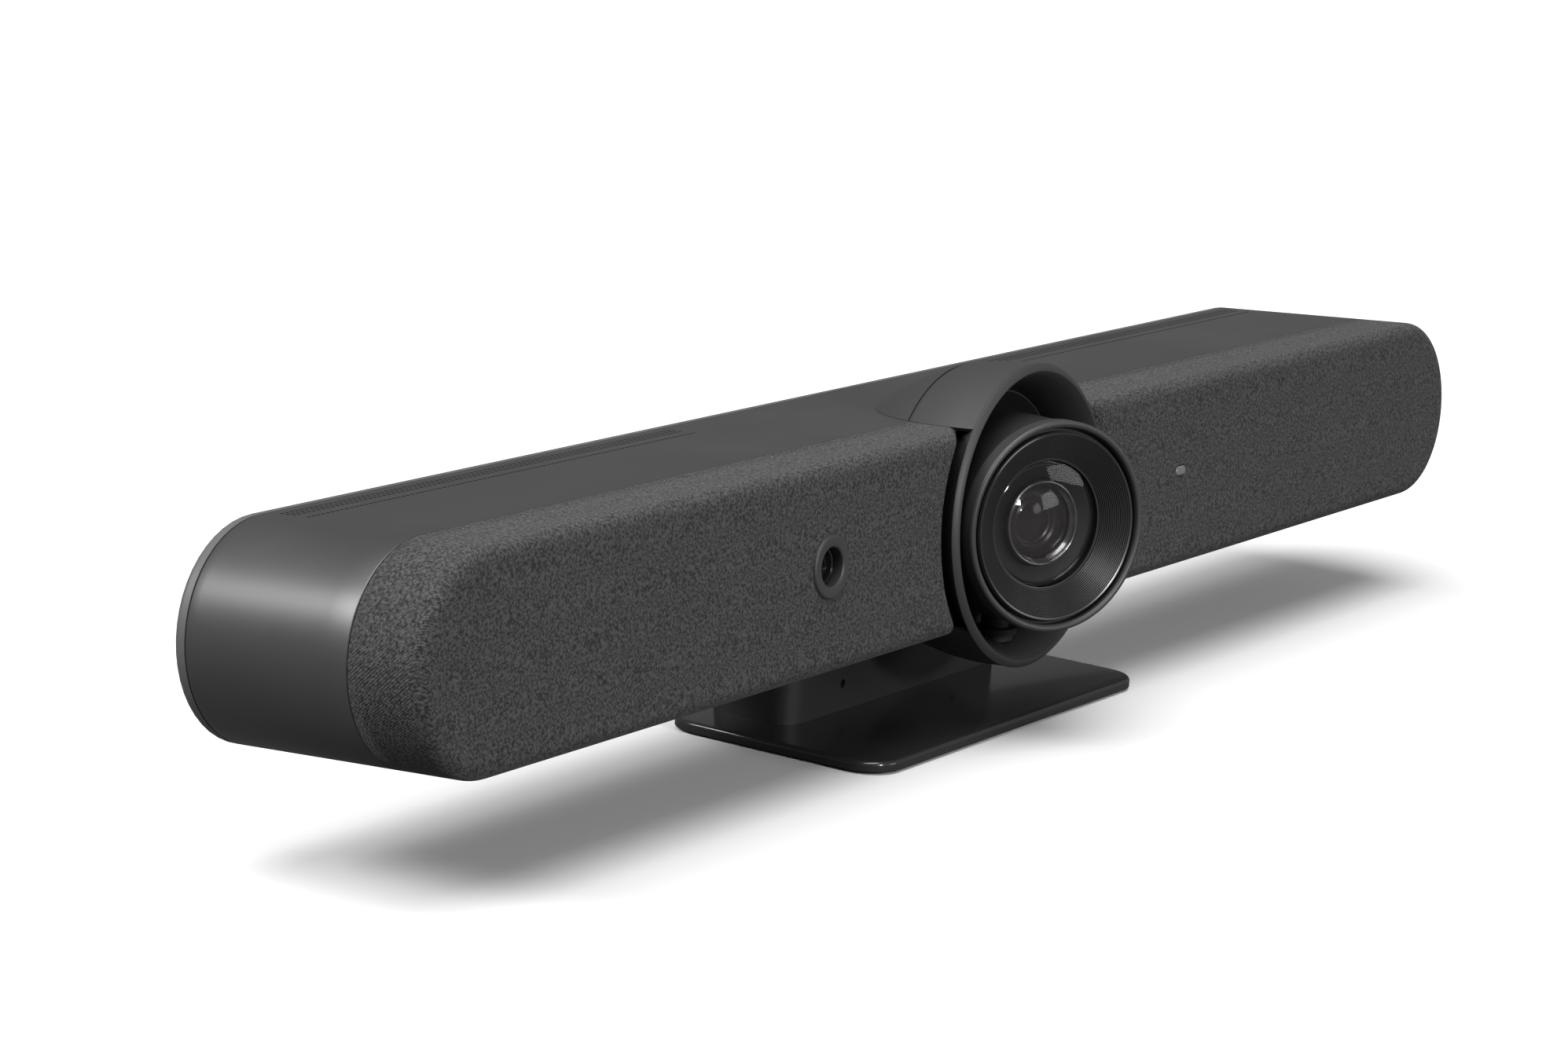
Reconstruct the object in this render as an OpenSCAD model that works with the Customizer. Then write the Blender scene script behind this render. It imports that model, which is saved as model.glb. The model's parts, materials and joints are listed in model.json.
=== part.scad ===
// Conference camera: a wide speaker bar with a motorised camera head in a round arch.
// The bar stands on a low table stand that pitches it slightly up.
// -Y is the front, +X the right-hand side seen from the front, +Z is up.
// The origin is on the table, under the middle of the stand's plate.

/* [Bar] */
// Width of the bar
bar_w = 720; // [600:10:900]
// Height of the bar
bar_h = 72.6; // [72:0.2:76]
// Depth of the hard housing behind the fabric, rear cover included
housing_d = 67.5; // [67:0.5:84]
// Wall of the hard housing
housing_wall = 3; // [2:0.5:4]
// Depth of the rear cover's band
cover_band = 4.6; // [4:0.2:7]
// Rounding of the rear cover's outer edge
cover_round = 2.4; // [1:0.2:3.6]
// Gap at the seams between hard shells
seam_gap = 0.3; // [0.2:0.05:0.5]

/* [Fabric front] */
// Depth of the fabric-covered front
fabric_d = 27.2; // [25:0.2:30]
// Rounding of the fabric's front edge
fabric_round = 5; // [3:0.5:8]
// Width of the dip in the fabric round the arch
dish_w = 13; // [8:0.5:16]
// Depth of that dip
dish_d = 8.6; // [6:0.2:10]
// Thickness of the cloth
cloth_t = 0.9; // [0.6:0.1:1.4]
// Wall of the frame under the cloth
frame_wall = 2.2; // [1.6:0.2:3]
// Width of one slot in the frame
frame_slot_w = 3.4; // [2:0.2:5]
// Distance from one slot to the next
frame_slot_pitch = 7; // [6:0.5:10]

/* [Camera arch] */
// Radius of the arch at its front lip
lip_r = 55.2; // [55:0.1:57]
// Distance from the seam plane to the front of the lip
lip_reach = 29.8; // [29:0.2:32]
// Radius of the arch's waist, behind the lip and beside the fabric
waist_r = 49.2; // [49:0.1:50]
// Wall of the arch
arch_wall = 1.9; // [1.5:0.1:2.1]
// Radius of the arch over and under the bar, at its front
hump_r = 55; // [54:0.1:55.2]
// Where the arch over the bar starts to fall off towards the back
hump_from = -20; // [-22:0.5:-18]
// Radius of the long arc in which it falls off
hump_arc = 85; // [80:1:90]
// Distance from the seam plane back to the arch's own seam
arch_seam_y = 1.7; // [1.5:0.1:4]

/* [Camera head] */
// Radius of the head's front ring
ring_r = 38; // [37.4:0.1:38.2]
// Distance from the pivot to the ring's front
ring_reach = 37.3; // [36:0.1:37.5]
// Radius of the head's casing and of its round back
head_r = 37.2; // [36:0.1:37.6]
// Wall of the casing
head_wall = 2.1; // [1.6:0.1:2.6]
// Number of fine steps in the lens hood
hood_steps = 12; // [6:1:16]
// Radius of the clear window
window_r = 22.8; // [20:0.2:24]
// Radius of the lens barrel
lens_r = 14.4; // [12:0.2:16]
// Distance from the seam plane forward to the pan axis
pivot_reach = 14; // [13.5:0.1:14.5]
// Direction in which the head is panned, 0 is straight ahead and less is to the left
pan_rest = -24; // [-25:1:25]
// How far the head can be panned to either side, from straight ahead
pan_reach = 25; // [10:1:25]
// How far the head can be tilted up and down
tilt_reach = 15; // [5:1:15]

/* [Pan and tilt drive] */
// Size of the gear teeth, pitch diameter over teeth
gear_module = 0.7; // [0.6:0.05:0.7]
// Teeth of a full pan gear
pan_teeth = 42; // [36:2:44]
// Teeth of a full tilt gear
tilt_teeth = 40; // [36:2:42]
// Teeth of both pinions
pinion_teeth = 12; // [12:1:14]
// Radius of the tilt axle
axle_r = 2.5; // [1.5:0.1:3]
// Radius of the pan shaft
pan_shaft_r = 4; // [3:0.25:5]
// Running clearance of shafts, on the radius
running_gap = 0.05; // [0.03:0.01:0.08]

/* [Viewfinder and light] */
// Distance of the viewfinder from the middle
finder_x = 134; // [110:1:150]
// Height of the viewfinder and the light above the bar's bottom
front_z = 37.4; // [34:0.2:40]
// Radius of the viewfinder's ring
finder_r = 11.0; // [9:0.2:14]
// Radius of the hole in the ring
finder_hole_r = 6.8; // [5:0.1:8]
// Distance of the status light from the middle
light_x = 117; // [110:1:150]
// Width of the status light
light_w = 7.6; // [5:0.2:12]
// Height of the status light
light_h = 3.6; // [2:0.2:5]

/* [Speakers] */
// Distance of each speaker from the bar's end
speaker_end = 125; // [110:1:160]
// Distance of a speaker's flange from the bar's top and bottom
speaker_edge = 7.8; // [7.3:0.1:12.3]
// Depth of a speaker's basket
basket_d = 18; // [15:1:20]
// Radius of a speaker's magnet
magnet_r = 15; // [13:0.5:20]
// Length of a speaker's magnet
magnet_d = 11; // [8:1:13]

/* [Vents] */
// Distance from the middle to the near end of a vent
vent_near = 105; // [95:1:130]
// Distance from a vent's far end to the bar's end
vent_end = 40; // [40:1:110]
// Radius of a vent hole
vent_hole_r = 1.0; // [0.7:0.05:1.1]
// Distance from one vent hole to the next
vent_pitch = 4; // [3.6:0.2:6]

/* [Rear panel] */
// Width of the socket recess
recess_w = 168; // [160:1:190]
// Height of the socket recess
recess_h = 24; // [22:1:26]
// Depth of the socket recess
recess_d = 9; // [6:0.5:9]
// Middle of the recess above the bar's bottom
recess_z = 31; // [28:1:33]
// Radius of the fastening inserts' thread
insert_r = 1.65; // [1.2:0.05:2.2]
// Distance between the fastening inserts, side to side
insert_w = 240; // [210:5:280]
// Distance between the fastening inserts, up and down
insert_h = 36; // [26:1:40]

/* [Stand] */
// Width of the stand's plate
plate_w = 191; // [170:1:240]
// Depth of the stand's plate
plate_d = 92; // [90:1:120]
// Thickness of the stand's plate
plate_t = 4; // [3:0.5:6]
// Corner radius of the plate
plate_corner = 13; // [8:1:20]
// Bevel along the plate's top edge
plate_bevel = 1.6; // [0.5:0.1:2.4]
// How far the plate reaches in front of the seam plane
plate_lead = 27; // [15:1:30]
// Height of the bar's bottom above the table, at the seam plane
bar_lift = 41.9; // [41:0.1:50]
// Upward pitch of the bar on its stand, in degrees
pitch = 4.1; // [3:0.1:5]
// Width of the stand's neck
neck_w = 150; // [136:2:160]

/* [Hidden] */

// Smoothness of large, middle-sized and small round shapes
fn_large = 128;
fn_mid = 64;
fn_small = 32;

// One overrun for all cuts
cut = 1;
// Gap between pieces that seat in each other without a fit
seat_gap = 0.3;

// Colours, as the object shows them
graphite = [0.30, 0.30, 0.31];
graphite_light = [0.40, 0.40, 0.41];
cloth_grey = [0.20, 0.20, 0.21];
matte_black = [0.09, 0.09, 0.10];
gloss_black = [0.05, 0.05, 0.055];
board_green = [0.07, 0.22, 0.14];
bare_metal = [0.66, 0.67, 0.69];
copper = [0.72, 0.45, 0.25];
glass_blue = [0.45, 0.52, 0.60, 0.5];

// Heights and places in the bar's own frame: y is 0 at the seam plane, z at the bar's bottom
axis_z = bar_h / 2;
cover_y = housing_d - cover_band;
inner_h = bar_h - 2 * housing_wall;
inner_w = bar_w - 2 * housing_wall;
pivot_y = -pivot_reach;
speaker_x = bar_w / 2 - speaker_end;
speaker_r = axis_z - speaker_edge;
vent_far = bar_w / 2 - vent_end;

// Places a shape of the bar's own frame on the stand
module on_stand() {
    translate([0, plate_lead - plate_d / 2, bar_lift])
        rotate([-pitch, 0, 0])
            children();
}

// Turns a shape that stands along Z to point backwards
module to_back() {
    rotate([-90, 0, 0]) children();
}

// Turns a shape that stands along Z to point forwards, its Y upwards
module to_front() {
    rotate([90, 0, 0]) children();
}

// Turns a shape that stands along Z to point to the right
module to_right() {
    rotate([0, 90, 0]) children();
}

// Places a shape at the pivot, turned with the head's pan
module at_pan() {
    on_stand()
        translate([0, pivot_y, axis_z])
            rotate([0, 0, pan_rest])
                children();
}

// Places a shape that stands along Z on the lens axis, pointing forwards from the pivot
module on_lens_axis() {
    at_pan() to_front() children();
}

// Flat outline with two straight sides and two round ends
module pill_outline(w, h) {
    square([w - h, h], center = true);
    for (side = [-1, 1])
        translate([side * (w - h) / 2, 0]) circle(d = h, $fn = fn_large);
}

// Pill-shaped block along Y, with its lowest line at z = 0
module pill_block(w, h, y0, y1) {
    translate([0, y0, axis_z])
        to_back()
            linear_extrude(y1 - y0) pill_outline(w, h);
}

// Sweeps a half profile, radius over depth, round the bar's pill outline
module pill_sweep(w, h) {
    straight = w - h;
    translate([0, 0, axis_z])
        to_back() {
            rotate([90, 0, 90])
                linear_extrude(straight, center = true) {
                    children();
                    mirror([1, 0]) children();
                }
            for (side = [-1, 1])
                translate([side * straight / 2, 0, 0])
                    rotate([0, 0, -90 * side])
                        rotate_extrude(angle = 180, $fn = fn_large) children();
        }
}

// Half profile of a slab with one rounded front edge, radius over depth
module rounded_half(r, y0, y1, round_r) {
    translate([0, y0 + round_r]) square([r, y1 - y0 - round_r]);
    translate([0, y0]) square([r - round_r, round_r + cut / 2]);
    intersection() {
        translate([r - round_r, y0 + round_r]) circle(round_r, $fn = fn_mid);
        translate([r - round_r, y0]) square([round_r, round_r]);
    }
}

// Revolves a half profile, radius over depth, round the arch's axis
module round_arch() {
    translate([0, 0, axis_z])
        to_back()
            rotate_extrude($fn = fn_large) children();
}

// Rounded rectangle lying flat
module rounded_plate(w, d, t, r) {
    linear_extrude(t) {
        square([w - 2 * r, d], center = true);
        square([w, d - 2 * r], center = true);
        for (sx = [-1, 1], sy = [-1, 1])
            translate([sx * (w / 2 - r), sy * (d / 2 - r)]) circle(r, $fn = fn_mid);
    }
}

// Flat outline of a spur gear, its first tooth on +X
module gear_outline(teeth, m) {
    pitch_r = teeth * m / 2;
    root_r = pitch_r - tooth_dedendum_share * m;
    tip_r = pitch_r + tooth_addendum_share * m;
    step = 360 / teeth;
    circle(root_r, $fn = fn_mid);
    for (i = [0 : teeth - 1])
        rotate(i * step)
            polygon([
                [root_r - m / 2, -root_width_share * m],
                [pitch_r, -pitch_width_share * m],
                [tip_r, -tip_width_share * m],
                [tip_r, tip_width_share * m],
                [pitch_r, pitch_width_share * m],
                [root_r - m / 2, root_width_share * m]
            ]);
}

// Tooth form, as shares of the gear module
tooth_addendum_share = 0.85;
tooth_dedendum_share = 1.25;
root_width_share = 1.05;
pitch_width_share = 0.70;
tip_width_share = 0.34;

// Bar housing: a pill-shaped sleeve, open at the front and back

vent_edge = 14.85;
vent_y = housing_d - vent_edge;
vent_frame_w = 15.6;
vent_plate_t = 1.8;
vent_len = vent_far - vent_near;
vent_mid = (vent_far + vent_near) / 2;
boss_r = 3.2;
boss_hole_r = 1.2;
board_lift = 3;

module main_housing() {
    color(graphite) on_stand() difference() {
        union() {
            difference() {
                pill_block(bar_w, bar_h, 0, cover_y - seam_gap);
                pill_block(inner_w, inner_h, -cut, cover_y + cut);
            }
            for (sx = [-1, 1], sy = [-1, 1])
                translate([power_x + sx * power_boss_x, power_y + sy * power_boss_y, housing_wall / 2])
                    cylinder(h = housing_wall / 2 + board_lift, r = boss_r, $fn = fn_small);
            for (at = cover_screw_places) cover_boss(at.x, at.y);
        }
        round_arch() arch_profile(seat_gap);
        for (side = [-1, 1]) vent_opening(side);
        for (side = [-1, 1])
            translate([side * neck_screw_x, neck_screw_y, -cut])
                cylinder(h = housing_wall + 2 * cut, r = neck_screw_r + seat_gap, $fn = fn_small);
    }
}

// Post with a rib that takes one of the rear cover's screws
module cover_boss(x, z) {
    rib = (z > axis_z ? bar_h - housing_wall / 2 - z : z - housing_wall / 2);
    back = cover_y - cover_lip - seat_gap;
    difference() {
        union() {
            translate([x, back - boss_len, z]) to_back() cylinder(h = boss_len, r = boss_r, $fn = fn_small);
            translate([x - rib_t / 2, back - boss_len, z > axis_z ? z : z - rib])
                cube([rib_t, boss_len, rib]);
        }
        translate([x, back - boss_len - cut, z])
            to_back() cylinder(h = boss_len + 2 * cut, r = screw_r + running_gap, $fn = fn_small);
    }
}
boss_len = 11;
rib_t = 2;

// Stepped opening in the housing's top that a vent grille drops into
module vent_opening(side) {
    translate([side * vent_mid, vent_y, bar_h - vent_plate_t])
        linear_extrude(vent_plate_t + cut) pill_outline(vent_len, vent_frame_w);
    translate([side * vent_mid, vent_y, bar_h - housing_wall - cut])
        linear_extrude(housing_wall + cut)
            pill_outline(vent_len - 2 * vent_ledge, vent_frame_w - 2 * vent_ledge);
}
vent_ledge = 2;

// Perforated strip that lies flush in the housing's top
// Rows of holes: one at the front of the strip and three at its back
vent_rows = [-2.2, 0.2, 1.2, 2.2];
vent_row_step = 2.4;

module vent_grille(side) {
    count = floor((vent_len - vent_frame_w) / vent_pitch);
    grille_w = vent_frame_w - seat_gap;
    color(graphite) on_stand()
        translate([side * vent_mid, vent_y, bar_h - vent_plate_t])
            difference() {
                linear_extrude(vent_plate_t) pill_outline(vent_len - seat_gap, grille_w);
                translate([0, 0, -cut])
                    linear_extrude(vent_plate_t + 2 * cut)
                        for (row = vent_rows, i = [0 : count])
                            translate([(i - count / 2) * vent_pitch, row * vent_row_step])
                                circle(vent_hole_r, $fn = fn_vent);
            }
}
fn_vent = 13;

module vent_grille_left() { vent_grille(-1); }
module vent_grille_right() { vent_grille(1); }

// Rear cover: a pill-shaped lid with the socket recess, cable slots and board posts

cover_lip = 2.4;
cover_lip_t = 2;
board_y = 44;
board_t = 1.6;
board_w = 204;
board_edge = 7.3;
board_h = inner_h - 2 * board_edge;
board_z = axis_z;
post_x = 94;
post_edge = 6;
post_z = board_h / 2 - post_edge;
exhaust_w = 2.2;
exhaust_h = 10;
exhaust_pitch = 5;
exhaust_count = 22;
exhaust_edge = 11.6;
exhaust_z = bar_h - exhaust_edge - exhaust_h / 2;
exhaust_x = 188;
insert_boss_r = 4.6;
insert_d = 9;
lock_w = 7;
lock_h = 3;
lock_x = -104;
button_x = 102;
button_z = 31;
button_r = 3;
button_gap = 0.25;

module rear_cover() {
    color(graphite_light) on_stand() difference() {
        union() {
            translate([0, housing_d + cover_y, 0])
                mirror([0, 1, 0])
                    pill_sweep(bar_w, bar_h)
                        rounded_half(bar_h / 2, cover_y, housing_d, cover_round);
            difference() {
                pill_block(inner_w - 2 * seat_gap, inner_h - 2 * seat_gap, cover_y - cover_lip,
                    cover_y + cut / 2);
                pill_block(inner_w - 2 * seat_gap - 2 * cover_lip_t,
                    inner_h - 2 * seat_gap - 2 * cover_lip_t,
                    cover_y - cover_lip - cut, cover_y + cut);
            }
            for (sx = [-1, 1], sz = [-1, 1]) {
                translate([sx * post_x, board_y + board_t, board_z + sz * post_z])
                    to_back()
                        cylinder(h = cover_y - board_y - board_t + cut / 2, r = boss_r, $fn = fn_small);
                translate([sx * insert_w / 2, housing_d - insert_d - cover_band / 2,
                    axis_z + sz * insert_h / 2])
                    to_back() cylinder(h = insert_d, r = insert_boss_r, $fn = fn_small);
            }
        }
        translate([-recess_w / 2, cover_y - cut, recess_z - recess_h / 2])
            cube([recess_w, cover_band + 2 * cut, recess_h]);
        for (side = [-1, 1], i = [0 : exhaust_count - 1])
            translate([side * exhaust_x + (i - (exhaust_count - 1) / 2) * exhaust_pitch - exhaust_w / 2,
                    cover_y - cut, exhaust_z - exhaust_h / 2])
                cube([exhaust_w, cover_band + 2 * cut, exhaust_h]);
        for (sx = [-1, 1], sz = [-1, 1])
            translate([sx * insert_w / 2, housing_d - insert_d, axis_z + sz * insert_h / 2])
                to_back() cylinder(h = insert_d + cut, r = insert_r, $fn = fn_small);
        for (at = cover_screw_places) {
            translate([at.x, cover_y - cut, at.y])
                to_back() cylinder(h = cover_band + 2 * cut, r = screw_r + seat_gap, $fn = fn_small);
            translate([at.x, housing_d - screw_sink, at.y])
                to_back() cylinder(h = screw_sink + cut, r = screw_head_r + seat_gap, $fn = fn_small);
        }
        translate([lock_x - lock_w / 2, cover_y - cut, recess_z - lock_h / 2])
            cube([lock_w, cover_band + 2 * cut, lock_h]);
        translate([button_x, cover_y - cut, button_z])
            to_back() cylinder(h = cover_band + 2 * cut, r = button_r + button_gap, $fn = fn_small);
    }
}

// Screws that hold the rear cover
screw_r = 1.5;
screw_head_r = 2.9;
screw_head_t = 1.8;
screw_sink = 2.2;
screw_len = 12;
screw_edge = 34;
cover_screw_edge = 8.7;
cover_screw_z = bar_h / 2 - cover_screw_edge;
cover_screw_mid_x = 60;
cover_screw_top = 11;
cover_screw_places = [
    for (sx = [-1, 1], sz = [-1, 1]) [sx * (bar_w / 2 - screw_edge), axis_z + sz * cover_screw_z],
    for (sx = [-1, 1]) [sx * cover_screw_mid_x, bar_h - cover_screw_top]
];

module cover_screws() {
    color(matte_black) on_stand()
        for (at = cover_screw_places)
            translate([at.x, housing_d - screw_sink, at.y])
                to_back() screw(screw_r, screw_len, screw_head_r, screw_head_t);
}

// Screw whose head sits on z = 0, its shank going down and a hex socket in its head
module screw(r, len, head_r, head_t) {
    difference() {
        union() {
            cylinder(h = head_t, r = head_r, $fn = fn_small);
            translate([0, 0, -len]) cylinder(h = len + head_t / 2, r = r, $fn = fn_small);
        }
        translate([0, 0, head_t / 2]) cylinder(h = head_t, r = head_r / 2, $fn = 6);
    }
}

// Front baffle: carries the speakers, the microphones and the viewfinder

baffle_t = 3;
baffle_w = inner_w - 2 * seat_gap;
baffle_h = inner_h - 2 * seat_gap;
flange_w = 4.5;
driver_hole_r = speaker_r - flange_w;
fabric_cut_r = waist_r + seat_gap;

module front_baffle(side) {
    color(matte_black) on_stand() difference() {
        pill_block(baffle_w, baffle_h, seat_gap, seat_gap + baffle_t);
        translate([0, 0, axis_z])
            to_back() cylinder(h = baffle_t + 2 * cut, r = hump_r, $fn = fn_large);
        translate([-side * bar_w / 2, 0, axis_z])
            cube([bar_w, 4 * baffle_t, bar_h + 2 * cut], center = true);
        translate([side * speaker_x, seat_gap - cut, axis_z])
            to_back() cylinder(h = baffle_t + 2 * cut, r = driver_hole_r, $fn = fn_mid);
    }
}

module front_baffle_left() { front_baffle(-1); }
module front_baffle_right() { front_baffle(1); }

// Fabric-covered front: a slotted frame on each side with cloth over it

cloth_gap = 0.2;
frame_inset = cloth_t + cloth_gap;
slot_h_share = 0.56;
frame_slot_h = bar_h * slot_h_share;
slot_from = 84;
slot_to_edge = 44;

// Round hole for the arch with the dip at its front, radius over depth, grown by a distance
module arch_hole(grow) {
    round_arch()
        polygon([
            [0, -fabric_d - cut],
            [fabric_cut_r + dish_w * (1 + cut / dish_d) + grow, -fabric_d - cut],
            [fabric_cut_r + grow, -fabric_d + dish_d],
            [fabric_cut_r + grow, 2 * cut],
            [0, 2 * cut]
        ]);
}

// One side of the fabric front as a solid, set in from the outside by a distance
module front_half(side, inset, y1) {
    difference() {
        pill_sweep(bar_w - 2 * inset, bar_h - 2 * inset)
            rounded_half(bar_h / 2 - inset, -fabric_d + inset, y1, max(fabric_round - inset, cloth_t));
        arch_hole(inset * dish_slant);
        translate([-side * bar_w / 2, 0, axis_z])
            cube([bar_w, 2 * fabric_d + 2 * cut, bar_h + 2 * cut], center = true);
    }
}
// Distance along the radius that sets the dip's cone in by one
dish_slant = sqrt(dish_w * dish_w + dish_d * dish_d) / dish_d;

module grille_frame(side) {
    slots = floor((bar_w / 2 - slot_from - slot_to_edge) / frame_slot_pitch);
    inner = frame_inset + frame_wall;
    color(matte_black) on_stand() difference() {
        front_half(side, frame_inset, 0);
        difference() {
            pill_block(bar_w - 2 * inner, bar_h - 2 * inner, -fabric_d + inner, cut);
            arch_hole(inner * dish_slant);
        }
        for (i = [0 : slots - 1])
            if (abs(slot_x(i) - finder_x) > finder_r + frame_slot_w
                && abs(slot_x(i) - light_x) > light_w + frame_slot_w)
                translate([side * slot_x(i) - frame_slot_w / 2, -fabric_d - cut, axis_z - frame_slot_h / 2])
                    cube([frame_slot_w, inner + 2 * cut, frame_slot_h]);
        front_fittings(side, seat_gap);
    }
}
function slot_x(i) = slot_from + i * frame_slot_pitch;

// Room for the viewfinder on the left and for the status light on the right
module front_fittings(side, gap) {
    if (side < 0)
        translate([-finder_x, -fabric_d - cut, front_z])
            to_back() cylinder(h = fabric_d + 2 * cut, r = finder_body_r + gap, $fn = fn_mid);
    else
        translate([light_x, -fabric_d - cut, front_z])
            to_back() linear_extrude(fabric_d + 2 * cut) pill_outline(light_w + 2 * gap, light_h + 2 * gap);
}

module fabric(side) {
    color(cloth_grey) on_stand() difference() {
        front_half(side, 0, 0);
        front_half(side, cloth_t, cut);
        front_fittings(side, seat_gap);
    }
}

module grille_frame_left() { grille_frame(-1); }
module grille_frame_right() { grille_frame(1); }
module fabric_left() { fabric(-1); }
module fabric_right() { fabric(1); }

// Camera arch: a flared lip and a waist in the bar, and the hump over and under it

lip_edge_d = 2.2;
lip_edge_y = lip_edge_d - lip_reach;
waist_y = -fabric_d + dish_d - seat_gap;
lip_round = 0.6;
hump_steps = 10;
hump_sink = 0.9;
hump_end_r = bar_h / 2 - hump_sink;

// Radius of the hump at a depth, and the depth at which it has a radius
function hump_at(y) = hump_r - hump_arc
    + sqrt(hump_arc * hump_arc - pow(max(y - hump_from, 0), 2));
function hump_y(r) = hump_from
    + sqrt(hump_arc * hump_arc - pow(hump_arc - hump_r + r, 2));

// Points of the hump's outline between two depths, set out by a distance
function hump_points(y0, y1, out) = [
    for (i = [0 : hump_steps])
        [hump_at(y0 + (y1 - y0) * i / hump_steps) + out, y0 + (y1 - y0) * i / hump_steps]
];
hump_end_y = hump_y(hump_end_r);

// Outline of the whole arch behind the lip, radius over depth, set out by a distance
module arch_profile(out) {
    polygon(concat([[0, lip_edge_y]], hump_points(lip_edge_y, hump_end_y + out, out), [[0,
        hump_end_y + out]]));
}

// The head sweeps this angle from straight ahead when pan and tilt are both at their ends
sweep = acos(cos(pan_reach) * cos(tilt_reach));
head_clear = 0.9;
ring_edge = atan(ring_r / ring_reach);
cavity_steps = 6;
quarter_turn = 90;

// Room that the turning head needs: distance from the pivot over the angle from straight ahead
function cavity_at(a) = (ring_r + head_clear) / sin(min(a - sweep, quarter_turn));
function cavity_point(a, out) =
    [(cavity_at(a) + out) * sin(a), pivot_y - (cavity_at(a) + out) * cos(a)];
function cavity_points(a0, a1, out) =
    [for (i = [0 : cavity_steps]) cavity_point(a0 + (a1 - a0) * i / cavity_steps, out)];

// A straight length of the bar's front, grown by a distance
module front_section(grow) {
    translate([0, 0, axis_z])
        rotate([90, 0, 90])
            linear_extrude(3 * hump_r, center = true) {
                rounded_section(grow);
                mirror([0, 1]) rounded_section(grow);
            }
}

// Upper half of the bar's front section, depth over height
module rounded_section(grow) {
    half = bar_h / 2 + grow;
    translate([-fabric_d - grow, 0]) square([2 * fabric_d, half - fabric_round]);
    translate([-fabric_d - grow + fabric_round, 0]) square([2 * fabric_d - fabric_round, half]);
    translate([-fabric_d - grow + fabric_round, half - fabric_round]) circle(fabric_round, $fn = fn_mid);
}

module camera_arch() {
    color(matte_black) on_stand() {
        difference() {
            round_arch() difference() {
                arch_front_outline(0);
                arch_front_outline(-arch_wall);
            }
            front_section(seat_gap);
        }
        difference() {
            round_arch()
                polygon(concat(
                    cavity_points(ring_edge + sweep, quarter_turn, 0),
                    [[waist_r, pivot_y],
                     [waist_r, waist_y],
                     [lip_r, lip_edge_y],
                     [lip_r - lip_round, -lip_reach + lip_round],
                     [lip_r - 3 * lip_round, -lip_reach]]
                ));
            pan_notch();
        }
    }
}

// Outline of the hump in front of its seam, radius over depth, set out by a distance
module arch_front_outline(out) {
    back_y = arch_seam_y - seam_gap;
    grow = (out < 0 ? cut : 0);
    polygon(concat(
        [[0, lip_edge_y - grow]],
        hump_points(lip_edge_y - grow, back_y + grow, out),
        [[0, back_y + grow]]
    ));
}

module arch_tail() {
    back = hump_points(arch_seam_y, hump_end_y, -arch_wall);
    color(matte_black) on_stand() round_arch()
        polygon(concat(
            hump_points(arch_seam_y, hump_end_y, 0),
            [for (i = [hump_steps : -1 : 0]) back[i]]
        ));
}

// Camera cup: the dark bowl in the arch that the head turns in

cup_wall = 1.6;
cup_steps = 12;
cup_r = ring_r + head_clear;
pan_disc_r = 8;
notch_gap = 0.4;
notch_r = pan_disc_r + notch_gap;
pan_arm_w = 12;
foot_d = 4;
foot_h = 3;
foot_y = pivot_y + notch_r;

// Top of the pan base: it stays clear of the head tilted all the way down
pan_top = axis_z - cup_r / cos(tilt_reach) - pan_disc_r * tan(tilt_reach);

// Opening in the bottom of the bowl for the pan base
module pan_notch() {
    translate([-notch_r, pivot_y - notch_r, axis_z - hump_r])
        cube([2 * notch_r, 2 * notch_r, hump_r - cup_r + cup_wall]);
}

// Half of the bowl behind the arch's ring, radius over depth, grown by a wall
module cup_half(wall) {
    front = pivot_y + (wall > 0 ? seat_gap : -cut);
    polygon(concat(
        [[0, front], [cavity_at(quarter_turn) + wall, front]],
        [for (i = [1 : cup_steps - 1]) cavity_point(quarter_turn * (1 + i / cup_steps), wall)],
        [[0, pivot_y + cup_r + wall]]
    ));
}

module camera_cup() {
    color(matte_black) on_stand() {
        difference() {
            round_arch() difference() {
                cup_half(cup_wall);
                cup_half(0);
            }
            pan_notch();
        }
        translate([-pan_arm_w / 2, foot_y, pan_top]) cube([pan_arm_w, foot_d, foot_h]);
    }
}

// Pan base: the plate under the cup that carries the pan bearing and the pan motor

pan_base_t = 2.2;
pan_gear_r = pan_teeth * gear_module / 2;
pinion_r = pinion_teeth * gear_module / 2;
pan_centres = pan_gear_r + pinion_r;
pan_motor_y = pivot_y + pan_centres;
pan_motor_r = 6;
pan_motor_h = 3.2;
pinion_shaft_r = 1.5;
gear_t = 2;
gear_gap = 0.3;
pan_gear_z = pan_top - pan_base_t - gear_gap - gear_t;

module pan_base() {
    base_z = pan_top - pan_base_t;
    color(bare_metal) on_stand() difference() {
        union() {
            translate([0, pivot_y, base_z]) cylinder(h = pan_base_t, r = pan_disc_r, $fn = fn_mid);
            translate([0, pan_motor_y, base_z]) cylinder(h = pan_base_t, r = pan_motor_r, $fn = fn_mid);
            translate([-pan_arm_w / 2, pivot_y, base_z]) cube([pan_arm_w, pan_centres, pan_base_t]);
        }
        translate([0, pivot_y, base_z - cut])
            cylinder(h = pan_base_t + 2 * cut, r = pan_shaft_r + running_gap, $fn = fn_mid);
        translate([0, pan_motor_y, base_z - cut])
            cylinder(h = pan_base_t + 2 * cut, r = pinion_shaft_r + seat_gap, $fn = fn_small);
    }
}

module pan_motor() {
    color(bare_metal) on_stand() difference() {
        translate([0, pan_motor_y, pan_top])
            cylinder(h = pan_motor_h, r = pan_motor_r - seat_gap, $fn = fn_mid);
        translate([0, pan_motor_y, pan_top - cut])
            cylinder(h = pan_motor_h, r = pinion_shaft_r + running_gap, $fn = fn_small);
    }
}

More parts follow.
